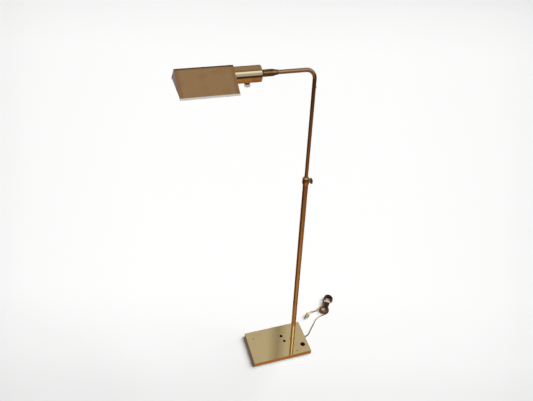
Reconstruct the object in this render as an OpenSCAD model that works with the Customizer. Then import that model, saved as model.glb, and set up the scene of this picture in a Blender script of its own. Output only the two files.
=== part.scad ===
/* [Base] */
// Length of the base plate along X
base_w = 254; // [220:1:310]
// Depth of the base plate along Y
base_d = 165; // [140:1:200]
// Thickness of the base plate
plate_t = 18; // [16:0.5:24]
// Thickness of the felt under the plate
felt_t = 1.5; // [1:0.1:2]
// Distance from the post's axis to the near short edge of the plate
post_inset = 58; // [50:1:70]
// Chamfer on the plate's upper edges and corners
plate_chamfer = 0.8; // [0.4:0.1:1.5]
// Diameters of the three drilled holes in the plate
small_hole_d = 12.5; // [10:0.5:15]
// Second small hole
middle_hole_d = 13.5; // [11:0.5:16]
// Large hole near the post
large_hole_d = 21; // [17:0.5:25]

/* [Post] */
// Outside diameter of the lower tube
lower_tube_d = 19.05; // [18.5:0.05:23]
// Wall of the lower tube
lower_tube_wall = 1.2; // [1:0.1:1.5]
// Length of the lower tube above the plate
lower_tube_len = 829.5; // [700:0.5:980]
// Outside diameter of the upper tube
upper_tube_d = 12.7; // [10.6:0.1:13.2]
// Wall of the upper tube
upper_tube_wall = 1; // [0.8:0.05:1.2]
// Length of the upper tube that stays inside the lower tube at rest
tube_overlap = 193; // [160:1:230]
// Height of the arm's axis above the floor
arm_h = 1235.6; // [1030:0.1:1470]
// Radius of the bend between post and arm, at the tube's axis
bend_r = 30; // [24:1:36]

/* [Clamp] */
// Outside diameter of the clamp collar
collar_d = 25.4; // [24:0.1:30]
// Height of the collar
collar_h = 25; // [21:0.5:30]
// Diameter of the thumb screw's disc
thumb_d = 21; // [17:0.5:25]
// Thickness of the thumb screw's disc
thumb_t = 6; // [5:0.5:7]
// Diameter of the thumb screw's stem
screw_d = 6; // [5:0.5:7]

/* [Swivel] */
// Distance from the post's axis to the swivel body
arm_reach = 117; // [100:1:140]
// Length of the swivel body along the arm
swivel_len = 46; // [40:1:54]
// Outside diameter of the swivel body
swivel_d = 21; // [19.5:0.1:25]
// Diameter of the swivel spindle
spindle_d = 8; // [7:0.1:9.5]

/* [Head] */
// Outside diameter of the socket housing
housing_d = 48.5; // [45:0.5:50]
// Length of the socket housing
housing_len = 92; // [86:1:110]
// Length of the shade along the arm
shade_len = 165; // [150:1:200]
// Width of the shade over its two panels, without their lips
shade_w = 165.6; // [150:0.2:200]
// Height of the ridge above the arm's axis
ridge_up = 30.7; // [29.5:0.1:36]
// Drop of the panels' lower edges below the arm's axis
edge_down = 21.4; // [18:0.1:26]
// Width of the lip that is turned down along each panel's lower edge
lip_w = 5.5; // [4:0.5:7]
// Sheet of the shade
shade_t = 1; // [0.8:0.05:1.2]
// Outside radius of the fold along the ridge
ridge_r = 8; // [6.6:0.1:9.5]
// Diameter of the switch knob
knob_d = 17.5; // [14.5:0.5:21]
// Length of the switch knob
knob_h = 9; // [7.5:0.5:11]
// Diameter of the tubular bulb
bulb_d = 32; // [27:1:36]
// Length of the bulb's glass
bulb_len = 105; // [90:1:120]

/* [Cord] */
// Diameter of the cord
cord_d = 4.2; // [3.6:0.1:4.3]
// Radius of the hank's round ends, at the outermost turn
lobe_r = 21; // [20.8:0.1:25]
// Half the distance between the centres of the hank's ends
lobe_reach = 37; // [35:0.5:42]

/* [Hidden] */

// Overrun of every cut past the face that it opens
cut = 1;
// Radial clearance of a sliding or turning fit
run_gap = 0.05;
// Clearance between fixed pieces that are screwed, soldered or pressed together
seat_gap = 0.04;
// Gap between faces of pieces that move apart
face_gap = 0.3;
$fn = 64;

brass = "#a97c46";
dark_brass = "#6e4a22";
steel = "#8f8f8c";
nylon = "#e7e0cf";
lead_brown = "#3a1a08";

// Heights of the base
plate_z = felt_t;
plate_top = plate_z + plate_t;
// Felt stands back from the plate's edge
felt_inset = 1.5;
base_mid_x = post_inset - base_w / 2;
// Places of the drilled holes, from the middle of the plate, as shares of its sides
hole_place_shares = [[0.12, -0.022], [0.098, 0.154], [0.405, -0.254]];
hole_ds = [small_hole_d, middle_hole_d, large_hole_d];

// Pocket under the plate for the nut, and the channel that lets the lead out
pocket_d = 30;
pocket_wall_t = 5;
pocket_h = plate_t - pocket_wall_t;
channel_w = 7;
channel_h = 7;
// The lead's axis above the floor in the channel
lead_z = 4.5;
// The exit's place along the near short edge
exit_y = 6.1;
exit_angle = atan2(exit_y, post_inset);
exit_run = norm([post_inset, exit_y]);

// Threaded nipple that draws the post down on the plate
nipple_d = 9.6;
nipple_bore = 6.4;
nipple_out = 12;
nipple_top = plate_top + nipple_out;
washer_d = 24;
washer_t = 1;
nut_af = 16;
nut_t = 3.5;
pocket_top = plate_top - pocket_wall_t;
nut_low = pocket_top - washer_t - nut_t - 2 * seat_gap;
nipple_low = nut_low - seat_gap;

// Flange at the foot of the post
ring_lip = 2;
ring_d = lower_tube_d + 2 * ring_lip;
ring_h = 3.5;
ring_round = 1.2;
lower_bore = lower_tube_d - 2 * lower_tube_wall;
lower_top = plate_top + lower_tube_len;

// Collar round the head of the lower tube
collar_grip = 18;
collar_low = lower_top - collar_grip;
collar_top = collar_low + collar_h;
collar_taper_h = 7;
collar_taper = 2;
collar_chamfer_h = 4;
collar_chamfer = 1.2;
collar_lip_gap = 0.25;
screw_up = 10;
screw_z = collar_low + screw_up;
boss_wall = 2;
boss_d = screw_d + 2 * boss_wall;
boss_out = 1.8;

// Nylon bush in the head of the lower tube, and its screw
bush_len = 49;
bush_low = lower_top - bush_len;
bush_bore = upper_tube_d + 2 * run_gap;
bush_od = lower_bore - 2 * seat_gap;
bush_screw_up = 14;
bush_screw_z = bush_low + bush_screw_up;
small_screw_d = 3;
small_head_d = 5.5;
small_head_t = 1.6;

// Bush at the foot of the upper tube, held between two clips
upper_low = lower_top - tube_overlap;
upper_bore = upper_tube_d - 2 * upper_tube_wall;
guide_len = 30;
guide_up = 4.3;
guide_low = upper_low + guide_up;
guide_od = lower_bore - 2 * run_gap;
clip_t = 2;
clip_lip = 0.6;
clip_od = (upper_tube_d + lower_bore) / 2 + clip_lip;
stop_down = 56.6;
stop_z = arm_h - stop_down;
stop_head_t = 2.4;

// Thumb screw and the pad that it pushes
pad_face = upper_tube_d / 2 + 2 * run_gap;
pad_len = 1.8;
stem_in = pad_face + pad_len + 2 * run_gap;
thumb_gap = 2;
thumb_in = collar_d / 2 + boss_out + thumb_gap;
thumb_chamfer = 0.9;
knurl_count = 28;
knurl_d = 1.4;

// Swivel at the end of the arm, as distances from the post's axis
bead_len = 2;
bead_out = 1.5;
bead_d = upper_tube_d + 2 * bead_out;
taper_len = 16;
tube_socket_len = 23;
web_len = 8;
swivel_end = arm_reach + swivel_len;
neck_wall = 1.15;
swivel_neck_d = upper_tube_d + 2 * neck_wall;
tube_end = arm_reach + tube_socket_len;
nut_bore = upper_tube_d + 2 * seat_gap;
web_at = swivel_end - web_len;
set_screw_in = 19;
set_screw_at = arm_reach + set_screw_in;
set_screw_d = 3;
flange_at = swivel_end + face_gap;
flange_step = 0.25;
flange_d = swivel_d - 2 * flange_step;
flange_t = 6.4;
flange_end = flange_at + flange_t;
flange_round = 1;
spindle_wall = 1.2;
spindle_bore = spindle_d - 2 * spindle_wall;
spindle_washer_t = 1.3;
spindle_washer_d = nut_bore - 2 * face_gap;
spindle_nut_t = 5;
spindle_nut_af = (nut_bore - 2 * face_gap) * cos(30);
spindle_washer_at = web_at - face_gap - spindle_washer_t;
spindle_nut_at = spindle_washer_at - spindle_nut_t - seat_gap;
spindle_tail = 2;
spindle_in = spindle_nut_at - spindle_tail;

// Socket housing and lampholder
housing_at = flange_end + seat_gap;
housing_wall = 0.8;
housing_round = 2.5;
housing_end = housing_at + housing_len;
cap_at = housing_at + housing_wall + seat_gap;
cap_t = 5;
cap_d = 36;
holder_at = cap_at + cap_t + seat_gap;
holder_d = 38;
holder_len = 60;
holder_neck_d = 34;
holder_neck_len = 24;
holder_end = holder_at + holder_len;
screw_cap_d = 26;
shell_t = 0.5;
shell_gap = 0.2;
shell_od = screw_cap_d + 2 * (shell_t + shell_gap);
shell_len = 21;
shell_at = holder_end - shell_len;
contact_d = 9;
contact_t = 1.2;
spindle_out = cap_at + cap_t;

// Switch under the housing
switch_in = 40;
switch_at = housing_at + switch_in;
switch_bush_d = 10;
switch_shaft_d = 5;
ring_nut_d = 14;
ring_nut_t = 1.8;
bush_tip = 0.6;
bush_out = housing_d / 2 + ring_nut_t + bush_tip;
knob_top = bush_out + face_gap;
knob_rib_count = 18;
knob_rib_d = 1.2;
knob_chamfer = 0.8;

// Shade
// Length of the housing that reaches into the shade
shade_lap = 11;
shade_at = housing_end - shade_lap;
shade_end = shade_at + shade_len;
fold_z = ridge_up - ridge_r;
edge_y = shade_w / 2;
edge_z = -edge_down;
edge_angle = atan2(fold_z - edge_z, edge_y);
fold_angle = acos(ridge_r / norm([edge_y, fold_z - edge_z])) - edge_angle;
fold_steps = 8;
// Slope of the lips below the level, and the direction of their outer faces
lip_slope = 65;
lip_angle = 90 - lip_slope;
lip_end = [edge_y + lip_w * cos(lip_slope), edge_z - lip_w * sin(lip_slope)];
end_plate_t = 1;
end_set_back = 0.6;

// Bulb
bulb_in = 0.8;
bulb_cap_at = shell_at + bulb_in;
bulb_cap_len = 24;
bulb_tip_len = 2.4;
bulb_glass_at = bulb_cap_at + bulb_cap_len + seat_gap;
bulb_neck_share = 0.2;
bulb_wall = 0.8;
thread_gap = 0.15;
bulb_cap_d = screw_cap_d - 2 * thread_gap;
bulb_tip_d = contact_d;

// Strain relief at the exit: a block in the channel and a tapered nose outside
relief_in = 18;
relief_nose = 6;
relief_nose_d = 6.8;
relief_tip_d = 5.6;
lead_gap = 0.1;
post_lead_top = 330;
lead_bend_r = 5;
arm_lead_r = cord_d / 2;

// Cord on the floor: its points from the exit to the hank, and from the hank to the plug
cord_r = cord_d / 2;
lead_route = [
    [64, 6.7, 4.5], [70, 7.3, 4.5], [76, 9.2, 4], [82, 13.2, 3.1], [88, 19, 2.3], [95, 26.5, 2.1],
    [103, 36, 2.1], [112, 46, 2.1], [122, 56.5, 2.1], [132, 67.5, 2.1], [142, 78.5, 2.1],
    [153, 88.5, 2.1], [165, 96, 2.1], [177, 100.3, 2.1], [189, 102.2, 2.1], [200, 104.2, 2.1]
];
tail_route = [
    [200, 145.3, 16.7], [194, 142.6, 15.4], [188.5, 140.3, 13.2], [183, 138.4, 10.6],
    [177.3, 137, 8], [171.3, 136, 5.8], [165.3, 135.3, 4.4], [159.2, 134.8, 4],
    [153.2, 134.3, 4.6], [147.4, 133.5, 6.1], [142, 132.1, 7.9], [137, 129.8, 9.5]
];
plug_at = [132.5, 126.8, 10.7];
// Heading of the plug on the floor, and its turn about its own axis
plug_heading = 218;
plug_roll = 65;

// Hank: turns that spiral in and out again, four layers high, drawn in at the waist
hank_centre = [231, 158];
hank_angle = 51.7;
turn_gap = 0.8;
turn_pitch = cord_d + turn_gap;
layer_gap = 0.55;
layer_pitch = cord_d + layer_gap;
layer_turns = 1.5;
layer_count = 4;
rings_per_turn = 24;
first_ring = -4;
last_ring = 133;
// Part of the step between rings over which a heading is taken
heading_share = 0.02;
waist_gap_share = 0.25;
waist_half = (layer_turns + waist_gap_share) * turn_pitch;
waist_r = (pow(lobe_reach, 2) + pow(waist_half, 2) - pow(lobe_r, 2)) / (2 * (lobe_r - waist_half));
waist_angle = atan2(lobe_reach, waist_half + waist_r);
lobe_angle = 180 + 2 * waist_angle;
turn_angle = 2 * (lobe_angle + 2 * waist_angle);
// How far a straight step between rings lies outside the waist's curve
ring_bow = waist_r * (1 - cos(turn_angle / rings_per_turn / 2));
// Lift of the waist for the tie that passes under it, and how far the lift reaches
tie_lift = 1.8;
lift_reach = 26;
tie_shift = 7;
tie_w = 12;
tie_t = 0.8;
tie_round = 3;
tie_gap = 0.25;

// Plug
plug_d = 21;
plug_len = 19;
plug_neck_d = 10;
plug_neck_len = 5;
plug_flange_t = 4;
plug_waist_d = 18;
blade_w = 6.35;
blade_t = 1.5;
blade_len = 16;
blade_gap = 12.7;
blade_root = 5;

function unit(v) = v / norm(v);

// Points of an arc in a plane
function arc(centre, r, from, to, steps) =
    [for (i = [0 : steps]) let (a = from + (to - from) * i / steps) centre + r * [cos(a), sin(a)]];

// Headings along a path, with those of its ends given
function headings(path, from, to) =
    [for (i = [0 : len(path) - 1])
        i == 0 ? from : i == len(path) - 1 ? to : unit(path[i + 1] - path[i - 1])];

function ring_points(path, dirs, r, sides) =
    [for (i = [0 : len(path) - 1])
        let (side = unit(cross([0, 0, 1], dirs[i])), up = cross(dirs[i], side))
            for (j = [0 : sides - 1])
                path[i] + r * (cos(360 * j / sides) * side + sin(360 * j / sides) * up)];

function wall_faces(rings, sides) =
    [for (i = [0 : rings - 2]) for (j = [0 : sides - 1])
        let (a = i * sides + j, b = i * sides + (j + 1) % sides)
            for (face = [[a, a + sides, b + sides], [a, b + sides, b]]) face];

function end_faces(rings, sides) =
    let (last = (rings - 1) * sides)
        [for (j = [1 : sides - 2]) for (face = [[0, j, j + 1], [last, last + j + 1, last + j]]) face];

// Closed tube of one radius along a path that never runs upright
module swept_tube(path, r, sides, from, to) {
    dirs = headings(path, from, to);
    polyhedron(
        points = ring_points(path, dirs, r, sides),
        faces = concat(wall_faces(len(path), sides), end_faces(len(path), sides))
    );
}

// Offset of a turn from the outermost one, which grows and shrinks at a steady rate
function turn_offset(turn) =
    let (part = turn < 0 ? turn : turn - 2 * layer_turns * floor(turn / (2 * layer_turns)))
        turn_pitch * (layer_turns - abs(part - layer_turns));

function smooth_step(x) = let (u = min(1, max(0, x))) u * u * (3 - 2 * u);

// Height in layers: each climb takes the half turn round a reversal
function turn_layer(turn, k = 1) =
    k == layer_count ? 0 : smooth_step(2 * (turn - k * layer_turns) + 0.5) + turn_layer(turn, k + 1);

// A turn's place along and across the hank, at an angle counted in the turning of its outline
function turn_place(a, off) =
    let (far = waist_half + waist_r, bow = waist_r + off, end = lobe_r - off)
        a < waist_angle ? [bow * sin(a), bow * cos(a) - far]
        : a < waist_angle + lobe_angle
            ? let (b = a - waist_angle - lobe_angle / 2) [lobe_reach + end * cos(b), end * sin(b)]
        : a < 3 * waist_angle + lobe_angle
            ? let (b = 2 * waist_angle + lobe_angle - a) [bow * sin(b), far - bow * cos(b)]
        : a < 3 * waist_angle + 2 * lobe_angle
            ? let (b = a - 3 * waist_angle - 1.5 * lobe_angle) [-lobe_reach - end * cos(b), -end * sin(b)]
        : let (b = a - turn_angle) [bow * sin(b), bow * cos(b) - far];

// From the hank's own directions to the floor
function hank_to_floor(along, across, z) =
    [hank_centre[0] + along * cos(hank_angle) - across * sin(hank_angle),
     hank_centre[1] + along * sin(hank_angle) + across * cos(hank_angle), z];

function hank_point(turn) =
    let (place = turn_place((turn - floor(turn)) * turn_angle, turn_offset(turn)))
        hank_to_floor(place[0], place[1],
            cord_r + turn_layer(turn) * layer_pitch + tie_lift * exp(-pow(place[0] / lift_reach, 2)));

hank_turns = [for (i = [first_ring : last_ring]) hank_point(i / rings_per_turn)];

// Heading of the hank at a turn, from two close points
function hank_heading(turn) =
    let (step = heading_share / rings_per_turn) unit(hank_point(turn + step) - hank_point(turn - step));

hank_in = hank_heading(first_ring / rings_per_turn);
hank_out = hank_heading(last_ring / rings_per_turn);
hank_start = hank_turns[0] - cord_d * hank_in;
hank_end = hank_turns[len(hank_turns) - 1] + cord_d * hank_out;
hank_path = concat([hank_start], hank_turns, [hank_end]);
lead_path = concat(lead_route, [hank_start]);
plug_dir = [cos(plug_heading), sin(plug_heading), 0];
tail_path = concat([hank_end], tail_route, [plug_at]);

function path_length(path) =
    let (steps = [for (i = [1 : len(path) - 1]) norm(path[i] - path[i - 1])]) steps * [for (s = steps) 1];

function to_segment(p, a, b) =
    let (ab = b - a, t = min(1, max(0, (p - a) * ab / (ab * ab)))) norm(p - a - t * ab);

// Least distance between the hank's turns, past the part of a turn next to each point
function least_gap(path, skip) =
    min([for (i = [0 : len(path) - 1]) for (j = [i + skip : 1 : len(path) - 2])
        to_segment(path[i], path[j], path[j + 1])]) - cord_d;

// Places children on the arm's axis: their Z runs along the arm and their X points up
module on_arm(at = 0) {
    translate([-at, 0, arm_h]) rotate([0, -90, 0]) children();
}

// Places children on the switch's axis, with their Z pointing down from the housing
module on_switch() {
    translate([-switch_at, 0, arm_h]) rotate([180, 0, 0]) children();
}

// Places children at the lead's way out, with their Z along it
module on_exit(at = 0) {
    rotate([0, 0, exit_angle]) translate([at, 0, lead_z]) rotate([0, 90, 0]) children();
}

module on_plug() {
    translate(plug_at) rotate([0, 0, plug_heading]) rotate([0, 90, 0]) rotate(plug_roll) children();
}

module ring(d, bore, h) {
    difference() {
        cylinder(d = d, h = h);
        translate([0, 0, -cut]) cylinder(d = bore, h = h + 2 * cut);
    }
}

module hex_nut(af, bore, h) {
    difference() {
        cylinder(d = af / cos(30), h = h, $fn = 6);
        translate([0, 0, -cut]) cylinder(d = bore, h = h + 2 * cut);
    }
}

// Disc or sleeve with chamfers at both rims
module chamfered_disc(d, h, chamfer) {
    rotate_extrude() polygon([
        [0, 0], [d / 2 - chamfer, 0], [d / 2, chamfer], [d / 2, h - chamfer], [d / 2 - chamfer, h], [0, h]
    ]);
}

// Radial bore for the thumb screw through collar, tube and bush
module screw_bore() {
    translate([0, 0, screw_z]) rotate([0, 90, 0])
        cylinder(d = screw_d + 2 * run_gap, h = collar_d);
}

// Radial bore for the bush's screw, on the front
module bush_screw_bore() {
    translate([0, 0, bush_screw_z]) rotate([90, 0, 0])
        cylinder(d = small_screw_d + 2 * seat_gap, h = lower_tube_d);
}

module chamfered_outline(w, h, chamfer) {
    polygon([
        [-w / 2, 0], [w / 2, 0], [w / 2, h - chamfer], [w / 2 - chamfer, h],
        [chamfer - w / 2, h], [-w / 2, h - chamfer]
    ]);
}

// Heavy steel plate, chamfered above, drilled, and hollowed below for the nut and the lead
module base_plate() {
    color(brass) difference() {
        translate([base_mid_x, 0, plate_z]) intersection() {
            rotate([90, 0, 0]) translate([0, 0, -base_d / 2])
                linear_extrude(base_d) chamfered_outline(base_w, plate_t, plate_chamfer);
            rotate([90, 0, 90]) translate([0, 0, -base_w / 2])
                linear_extrude(base_w) chamfered_outline(base_d, plate_t, plate_chamfer);
        }
        translate([0, 0, -cut]) cylinder(d = nipple_d + 2 * lead_gap, h = plate_top + 2 * cut);
        translate([0, 0, plate_z - cut]) cylinder(d = pocket_d, h = pocket_h + cut);
        rotate([0, 0, exit_angle]) translate([0, -channel_w / 2, plate_z - cut])
            cube([base_w, channel_w, channel_h + cut]);
        for (i = [0 : len(hole_ds) - 1])
            translate([base_mid_x + hole_place_shares[i][0] * base_w, hole_place_shares[i][1] * base_d, 0])
                cylinder(d = hole_ds[i], h = plate_top + cut);
    }
}

module base_felt() {
    color("#2b2b22") translate([base_mid_x - base_w / 2 + felt_inset, felt_inset - base_d / 2, 0])
        cube([base_w - 2 * felt_inset, base_d - 2 * felt_inset, felt_t]);
}

// Turned flange with a rounded shoulder, round the foot of the post
module post_ring() {
    color(brass) translate([0, 0, plate_top]) rotate_extrude() difference() {
        union() {
            square([ring_d / 2, ring_h - ring_round]);
            square([ring_d / 2 - ring_round, ring_h]);
            translate([ring_d / 2 - ring_round, ring_h - ring_round]) circle(ring_round);
        }
        translate([0, -cut]) square([lower_tube_d / 2 + seat_gap, ring_h + 2 * cut]);
    }
}

module lower_tube() {
    color(brass) difference() {
        translate([0, 0, plate_top]) ring(lower_tube_d, lower_bore, lower_tube_len);
        screw_bore();
        bush_screw_bore();
    }
}

// Threaded slug brazed into the foot of the post
module post_plug() {
    color(steel) translate([0, 0, plate_top])
        ring(lower_bore - 2 * seat_gap, nipple_d + 2 * seat_gap, nipple_top - plate_top);
}

module base_nipple() {
    color(steel) translate([0, 0, nipple_low]) ring(nipple_d, nipple_bore, nipple_top - nipple_low);
}

module base_washer() {
    color(steel) translate([0, 0, pocket_top - washer_t - seat_gap])
        ring(washer_d, nipple_d + 2 * seat_gap, washer_t);
}

module base_nut() {
    color(steel) translate([0, 0, nut_low]) hex_nut(nut_af, nipple_d + 2 * seat_gap, nut_t);
}

// Turned collar: tapered skirt, cylinder, chamfered head and a boss for the thumb screw
module clamp_collar() {
    color(brass) difference() {
        union() {
            translate([0, 0, collar_low]) rotate_extrude() polygon([
                [0, 0], [collar_d / 2 - collar_taper, 0], [collar_d / 2, collar_taper_h],
                [collar_d / 2, collar_h - collar_chamfer_h], [collar_d / 2 - collar_chamfer, collar_h],
                [0, collar_h]
            ]);
            translate([0, 0, screw_z]) rotate([0, 90, 0])
                cylinder(d = boss_d, h = collar_d / 2 + boss_out);
        }
        translate([0, 0, collar_low - cut])
            cylinder(d = lower_tube_d + 2 * seat_gap, h = lower_top + seat_gap - collar_low + cut);
        translate([0, 0, lower_top])
            cylinder(d = upper_tube_d + 2 * collar_lip_gap, h = collar_top - lower_top + cut);
        screw_bore();
    }
}

module top_bush() {
    color(nylon) difference() {
        translate([0, 0, bush_low]) ring(bush_od, bush_bore, bush_len);
        screw_bore();
        bush_screw_bore();
    }
}

module bush_screw() {
    shank = lower_tube_d / 2 - (bush_bore / 2 + 2 * lead_gap);
    color(dark_brass) translate([0, -lower_tube_d / 2 - seat_gap, bush_screw_z]) rotate([90, 0, 0]) {
        translate([0, 0, -shank]) cylinder(d = small_screw_d, h = shank);
        intersection() {
            cylinder(d = small_head_d, h = small_head_t / 2);
            translate([0, 0, small_head_t / 2 - small_head_d]) sphere(small_head_d);
        }
    }
}

// Lead inside the post: up the tube, round under the nipple and out along the channel
module post_lead() {
    color(lead_brown) {
        translate([0, 0, lead_z + lead_bend_r])
            cylinder(r = cord_r, h = post_lead_top - lead_z - lead_bend_r);
        rotate([0, 0, exit_angle]) translate([lead_bend_r, 0, lead_z + lead_bend_r])
            rotate([90, 0, 0]) rotate([0, 0, 180]) rotate_extrude(angle = 90)
                translate([lead_bend_r, 0]) circle(cord_r);
        on_exit(lead_bend_r) cylinder(r = cord_r, h = exit_run + relief_nose - lead_bend_r);
    }
}

// Strain relief: a block that fills the channel's mouth and a tapered nose outside
module cord_grommet() {
    block_w = channel_w - 2 * lead_gap;
    block_h = channel_h - 2 * lead_gap;
    color("#241a14") difference() {
        union() {
            rotate([0, 0, exit_angle])
                translate([exit_run - relief_in, -block_w / 2, plate_z + lead_gap])
                    cube([relief_in - channel_w / 2 * tan(exit_angle) - lead_gap, block_w, block_h]);
            on_exit(exit_run - relief_in) cylinder(
                d1 = relief_tip_d, d2 = relief_tip_d, h = relief_in
            );
            on_exit(exit_run) cylinder(d1 = relief_nose_d, d2 = relief_tip_d, h = relief_nose);
        }
        on_exit() cylinder(r = cord_r + run_gap, h = exit_run + relief_nose + cut);
    }
}

module cord_lead() {
    color(lead_brown) swept_tube(lead_path, cord_r, 8, [cos(exit_angle), sin(exit_angle), 0], hank_in);
}

module cord_hank() {
    echo(hank_least_gap = least_gap(hank_path, 4), cord_length = path_length(lead_path)
        + path_length(hank_path) + path_length(tail_path));
    echo(hank_start = hank_start, hank_in = hank_in, hank_end = hank_end, hank_out = hank_out);
    color(lead_brown) swept_tube(hank_path, cord_r, 6, hank_in, hank_out);
}

module cord_tail() {
    color(lead_brown) swept_tube(tail_path, cord_r, 8, hank_out, plug_dir);
}

module rounded_outline(w, low, high, round) {
    translate([round - w / 2, low]) square([w - 2 * round, high - low]);
    translate([-w / 2, low + round]) square([w, high - low - 2 * round]);
    for (x = [round - w / 2, w / 2 - round], y = [low + round, high - round])
        translate([x, y]) circle(round);
}

// Band round the waist of the hank
module cord_tie() {
    side_place = turn_place(asin((tie_shift + tie_w / 2) / waist_r), 0);
    half_w = -side_place[1] + cord_r + ring_bow + tie_gap;
    edge_lift = tie_lift * exp(-pow((tie_shift + tie_w / 2) / lift_reach, 2));
    low = edge_lift - tie_gap;
    high = cord_d + (layer_count - 1) * layer_pitch + tie_lift + tie_gap;
    color("#cdbba0") translate([hank_centre[0], hank_centre[1], 0]) rotate([0, 0, hank_angle])
        translate([tie_shift - tie_w / 2, 0, 0]) rotate([90, 0, 90]) linear_extrude(tie_w) difference() {
            rounded_outline(2 * (half_w + tie_t), low - tie_t, high + tie_t, tie_round);
            rounded_outline(2 * half_w, low, high, tie_round - tie_t);
        }
}

// Moulded plug: narrow neck, waisted grip and a flange behind the blades
module plug_body() {
    color("#dcc193") difference() {
        on_plug() rotate_extrude() polygon([
            [0, 0], [plug_neck_d / 2 - cord_r / 2, 0], [plug_neck_d / 2, cord_r / 2],
            [plug_neck_d / 2, plug_neck_len], [plug_waist_d / 2, plug_neck_len + cord_r],
            [plug_waist_d / 2, plug_len - plug_flange_t - cord_r], [plug_d / 2, plug_len - plug_flange_t],
            [plug_d / 2, plug_len], [0, plug_len]
        ]);
        blade_slots(seat_gap);
    }
}

module blade_slots(gap) {
    on_plug() for (side = [-1, 1])
        translate([-blade_w / 2 - gap, side * blade_gap / 2 - blade_t / 2 - gap, plug_len - blade_root - gap])
            cube([blade_w + 2 * gap, blade_t + 2 * gap, blade_root + blade_len + gap]);
}

module plug_blades() {
    color("#c9b27a") blade_slots(0);
}

module guide_bush() {
    color(nylon) translate([0, 0, guide_low]) ring(guide_od, bush_bore, guide_len);
}

// Two rings on the upper tube that keep the guide bush in its place
module guide_clips() {
    color(steel) for (z = [guide_low - face_gap - clip_t, guide_low + guide_len + face_gap])
        translate([0, 0, z]) ring(clip_od, upper_tube_d + 2 * seat_gap, clip_t);
}

// Upper tube: the sliding post, its bend and the arm, drawn from one length
module upper_tube() {
    color(brass) difference() {
        union() {
            translate([0, 0, upper_low]) cylinder(d = upper_tube_d, h = arm_h - bend_r - upper_low);
            translate([-bend_r, 0, arm_h - bend_r]) rotate([90, 0, 0]) rotate_extrude(angle = 90)
                translate([bend_r, 0]) circle(d = upper_tube_d);
            on_arm(bend_r) cylinder(d = upper_tube_d, h = tube_end - bend_r);
        }
        translate([0, 0, upper_low - cut]) cylinder(d = upper_bore, h = arm_h - bend_r - upper_low + cut);
        translate([-bend_r, 0, arm_h - bend_r]) rotate([90, 0, 0]) rotate_extrude(angle = 90)
            translate([bend_r, 0]) circle(d = upper_bore);
        on_arm(bend_r) cylinder(d = upper_bore, h = tube_end - bend_r + cut);
        translate([0, 0, stop_z]) rotate([0, 90, 0])
            cylinder(d = small_screw_d + 2 * seat_gap, h = upper_tube_d);
    }
}

// Round-headed screw that stops the upper tube at the collar
module stop_screw() {
    color(brass) translate([upper_tube_d / 2 + seat_gap, 0, stop_z]) rotate([0, 90, 0]) {
        translate([0, 0, -upper_tube_wall]) cylinder(d = small_screw_d, h = upper_tube_wall);
        intersection() {
            cylinder(d = small_head_d, h = stop_head_t);
            translate([0, 0, stop_head_t - small_head_d / 2 - lead_gap]) sphere(small_head_d / 2 + lead_gap);
        }
    }
}

// Turned swivel body: bead, taper and barrel, bored for the tube, the nut and the spindle
module swivel_body() {
    color(brass) difference() {
        on_arm(arm_reach) rotate_extrude() polygon([
            [0, 0], [bead_d / 2, 0], [bead_d / 2, bead_len], [swivel_neck_d / 2, bead_len],
            [swivel_d / 2, taper_len], [swivel_d / 2, swivel_len], [0, swivel_len]
        ]);
        on_arm(arm_reach - cut) cylinder(d = nut_bore, h = web_at - arm_reach + cut);
        on_arm(web_at - cut) cylinder(d = spindle_d + 2 * run_gap, h = web_len + 2 * cut);
        on_arm(set_screw_at) rotate([0, 90, 0])
            cylinder(d = set_screw_d + 2 * seat_gap, h = swivel_d);
    }
}

module swivel_set_screw() {
    color(dark_brass) on_arm(set_screw_at) rotate([0, 90, 0])
        translate([0, 0, upper_tube_d / 2 + seat_gap])
            cylinder(d = set_screw_d, h = swivel_d / 2 - upper_tube_d / 2);
}

// Lead inside the sliding post and the arm, through the hollow spindle
module arm_lead() {
    lead_low = upper_low + clip_t;
    color(lead_brown) {
        translate([0, 0, lead_low]) cylinder(r = arm_lead_r, h = arm_h - bend_r - lead_low);
        translate([-bend_r, 0, arm_h - bend_r]) rotate([90, 0, 0]) rotate_extrude(angle = 90)
            translate([bend_r, 0]) circle(arm_lead_r);
        on_arm(bend_r) cylinder(r = arm_lead_r, h = holder_at - face_gap - bend_r);
    }
}

// Hollow spindle with its flange, turned in one piece
module swivel_spindle() {
    color(dark_brass) difference() {
        union() {
            on_arm(spindle_in) cylinder(d = spindle_d, h = spindle_out - spindle_in);
            on_arm(flange_at) rotate_extrude() {
                square([flange_d / 2 - flange_round, flange_t]);
                translate([0, flange_round]) square([flange_d / 2, flange_t - 2 * flange_round]);
                for (z = [flange_round, flange_t - flange_round])
                    translate([flange_d / 2 - flange_round, z]) circle(flange_round);
            }
        }
        on_arm(spindle_in - cut) cylinder(d = spindle_bore, h = spindle_out - spindle_in + 2 * cut);
    }
}

module spindle_washer() {
    color(steel) on_arm(spindle_washer_at)
        ring(spindle_washer_d, spindle_d + 2 * seat_gap, spindle_washer_t);
}

module spindle_nut() {
    color(steel) on_arm(spindle_nut_at)
        hex_nut(spindle_nut_af, spindle_d + 2 * seat_gap, spindle_nut_t);
}

// Outline of the housing's wall with a rounded closed end, for a turn about its axis
module housing_outline(inset) {
    round = housing_round - inset;
    translate([0, inset]) square([housing_d / 2 - housing_round, housing_len + cut]);
    translate([0, housing_round]) square([housing_d / 2 - inset, housing_len + cut]);
    translate([housing_d / 2 - housing_round, housing_round]) circle(round);
}

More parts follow.
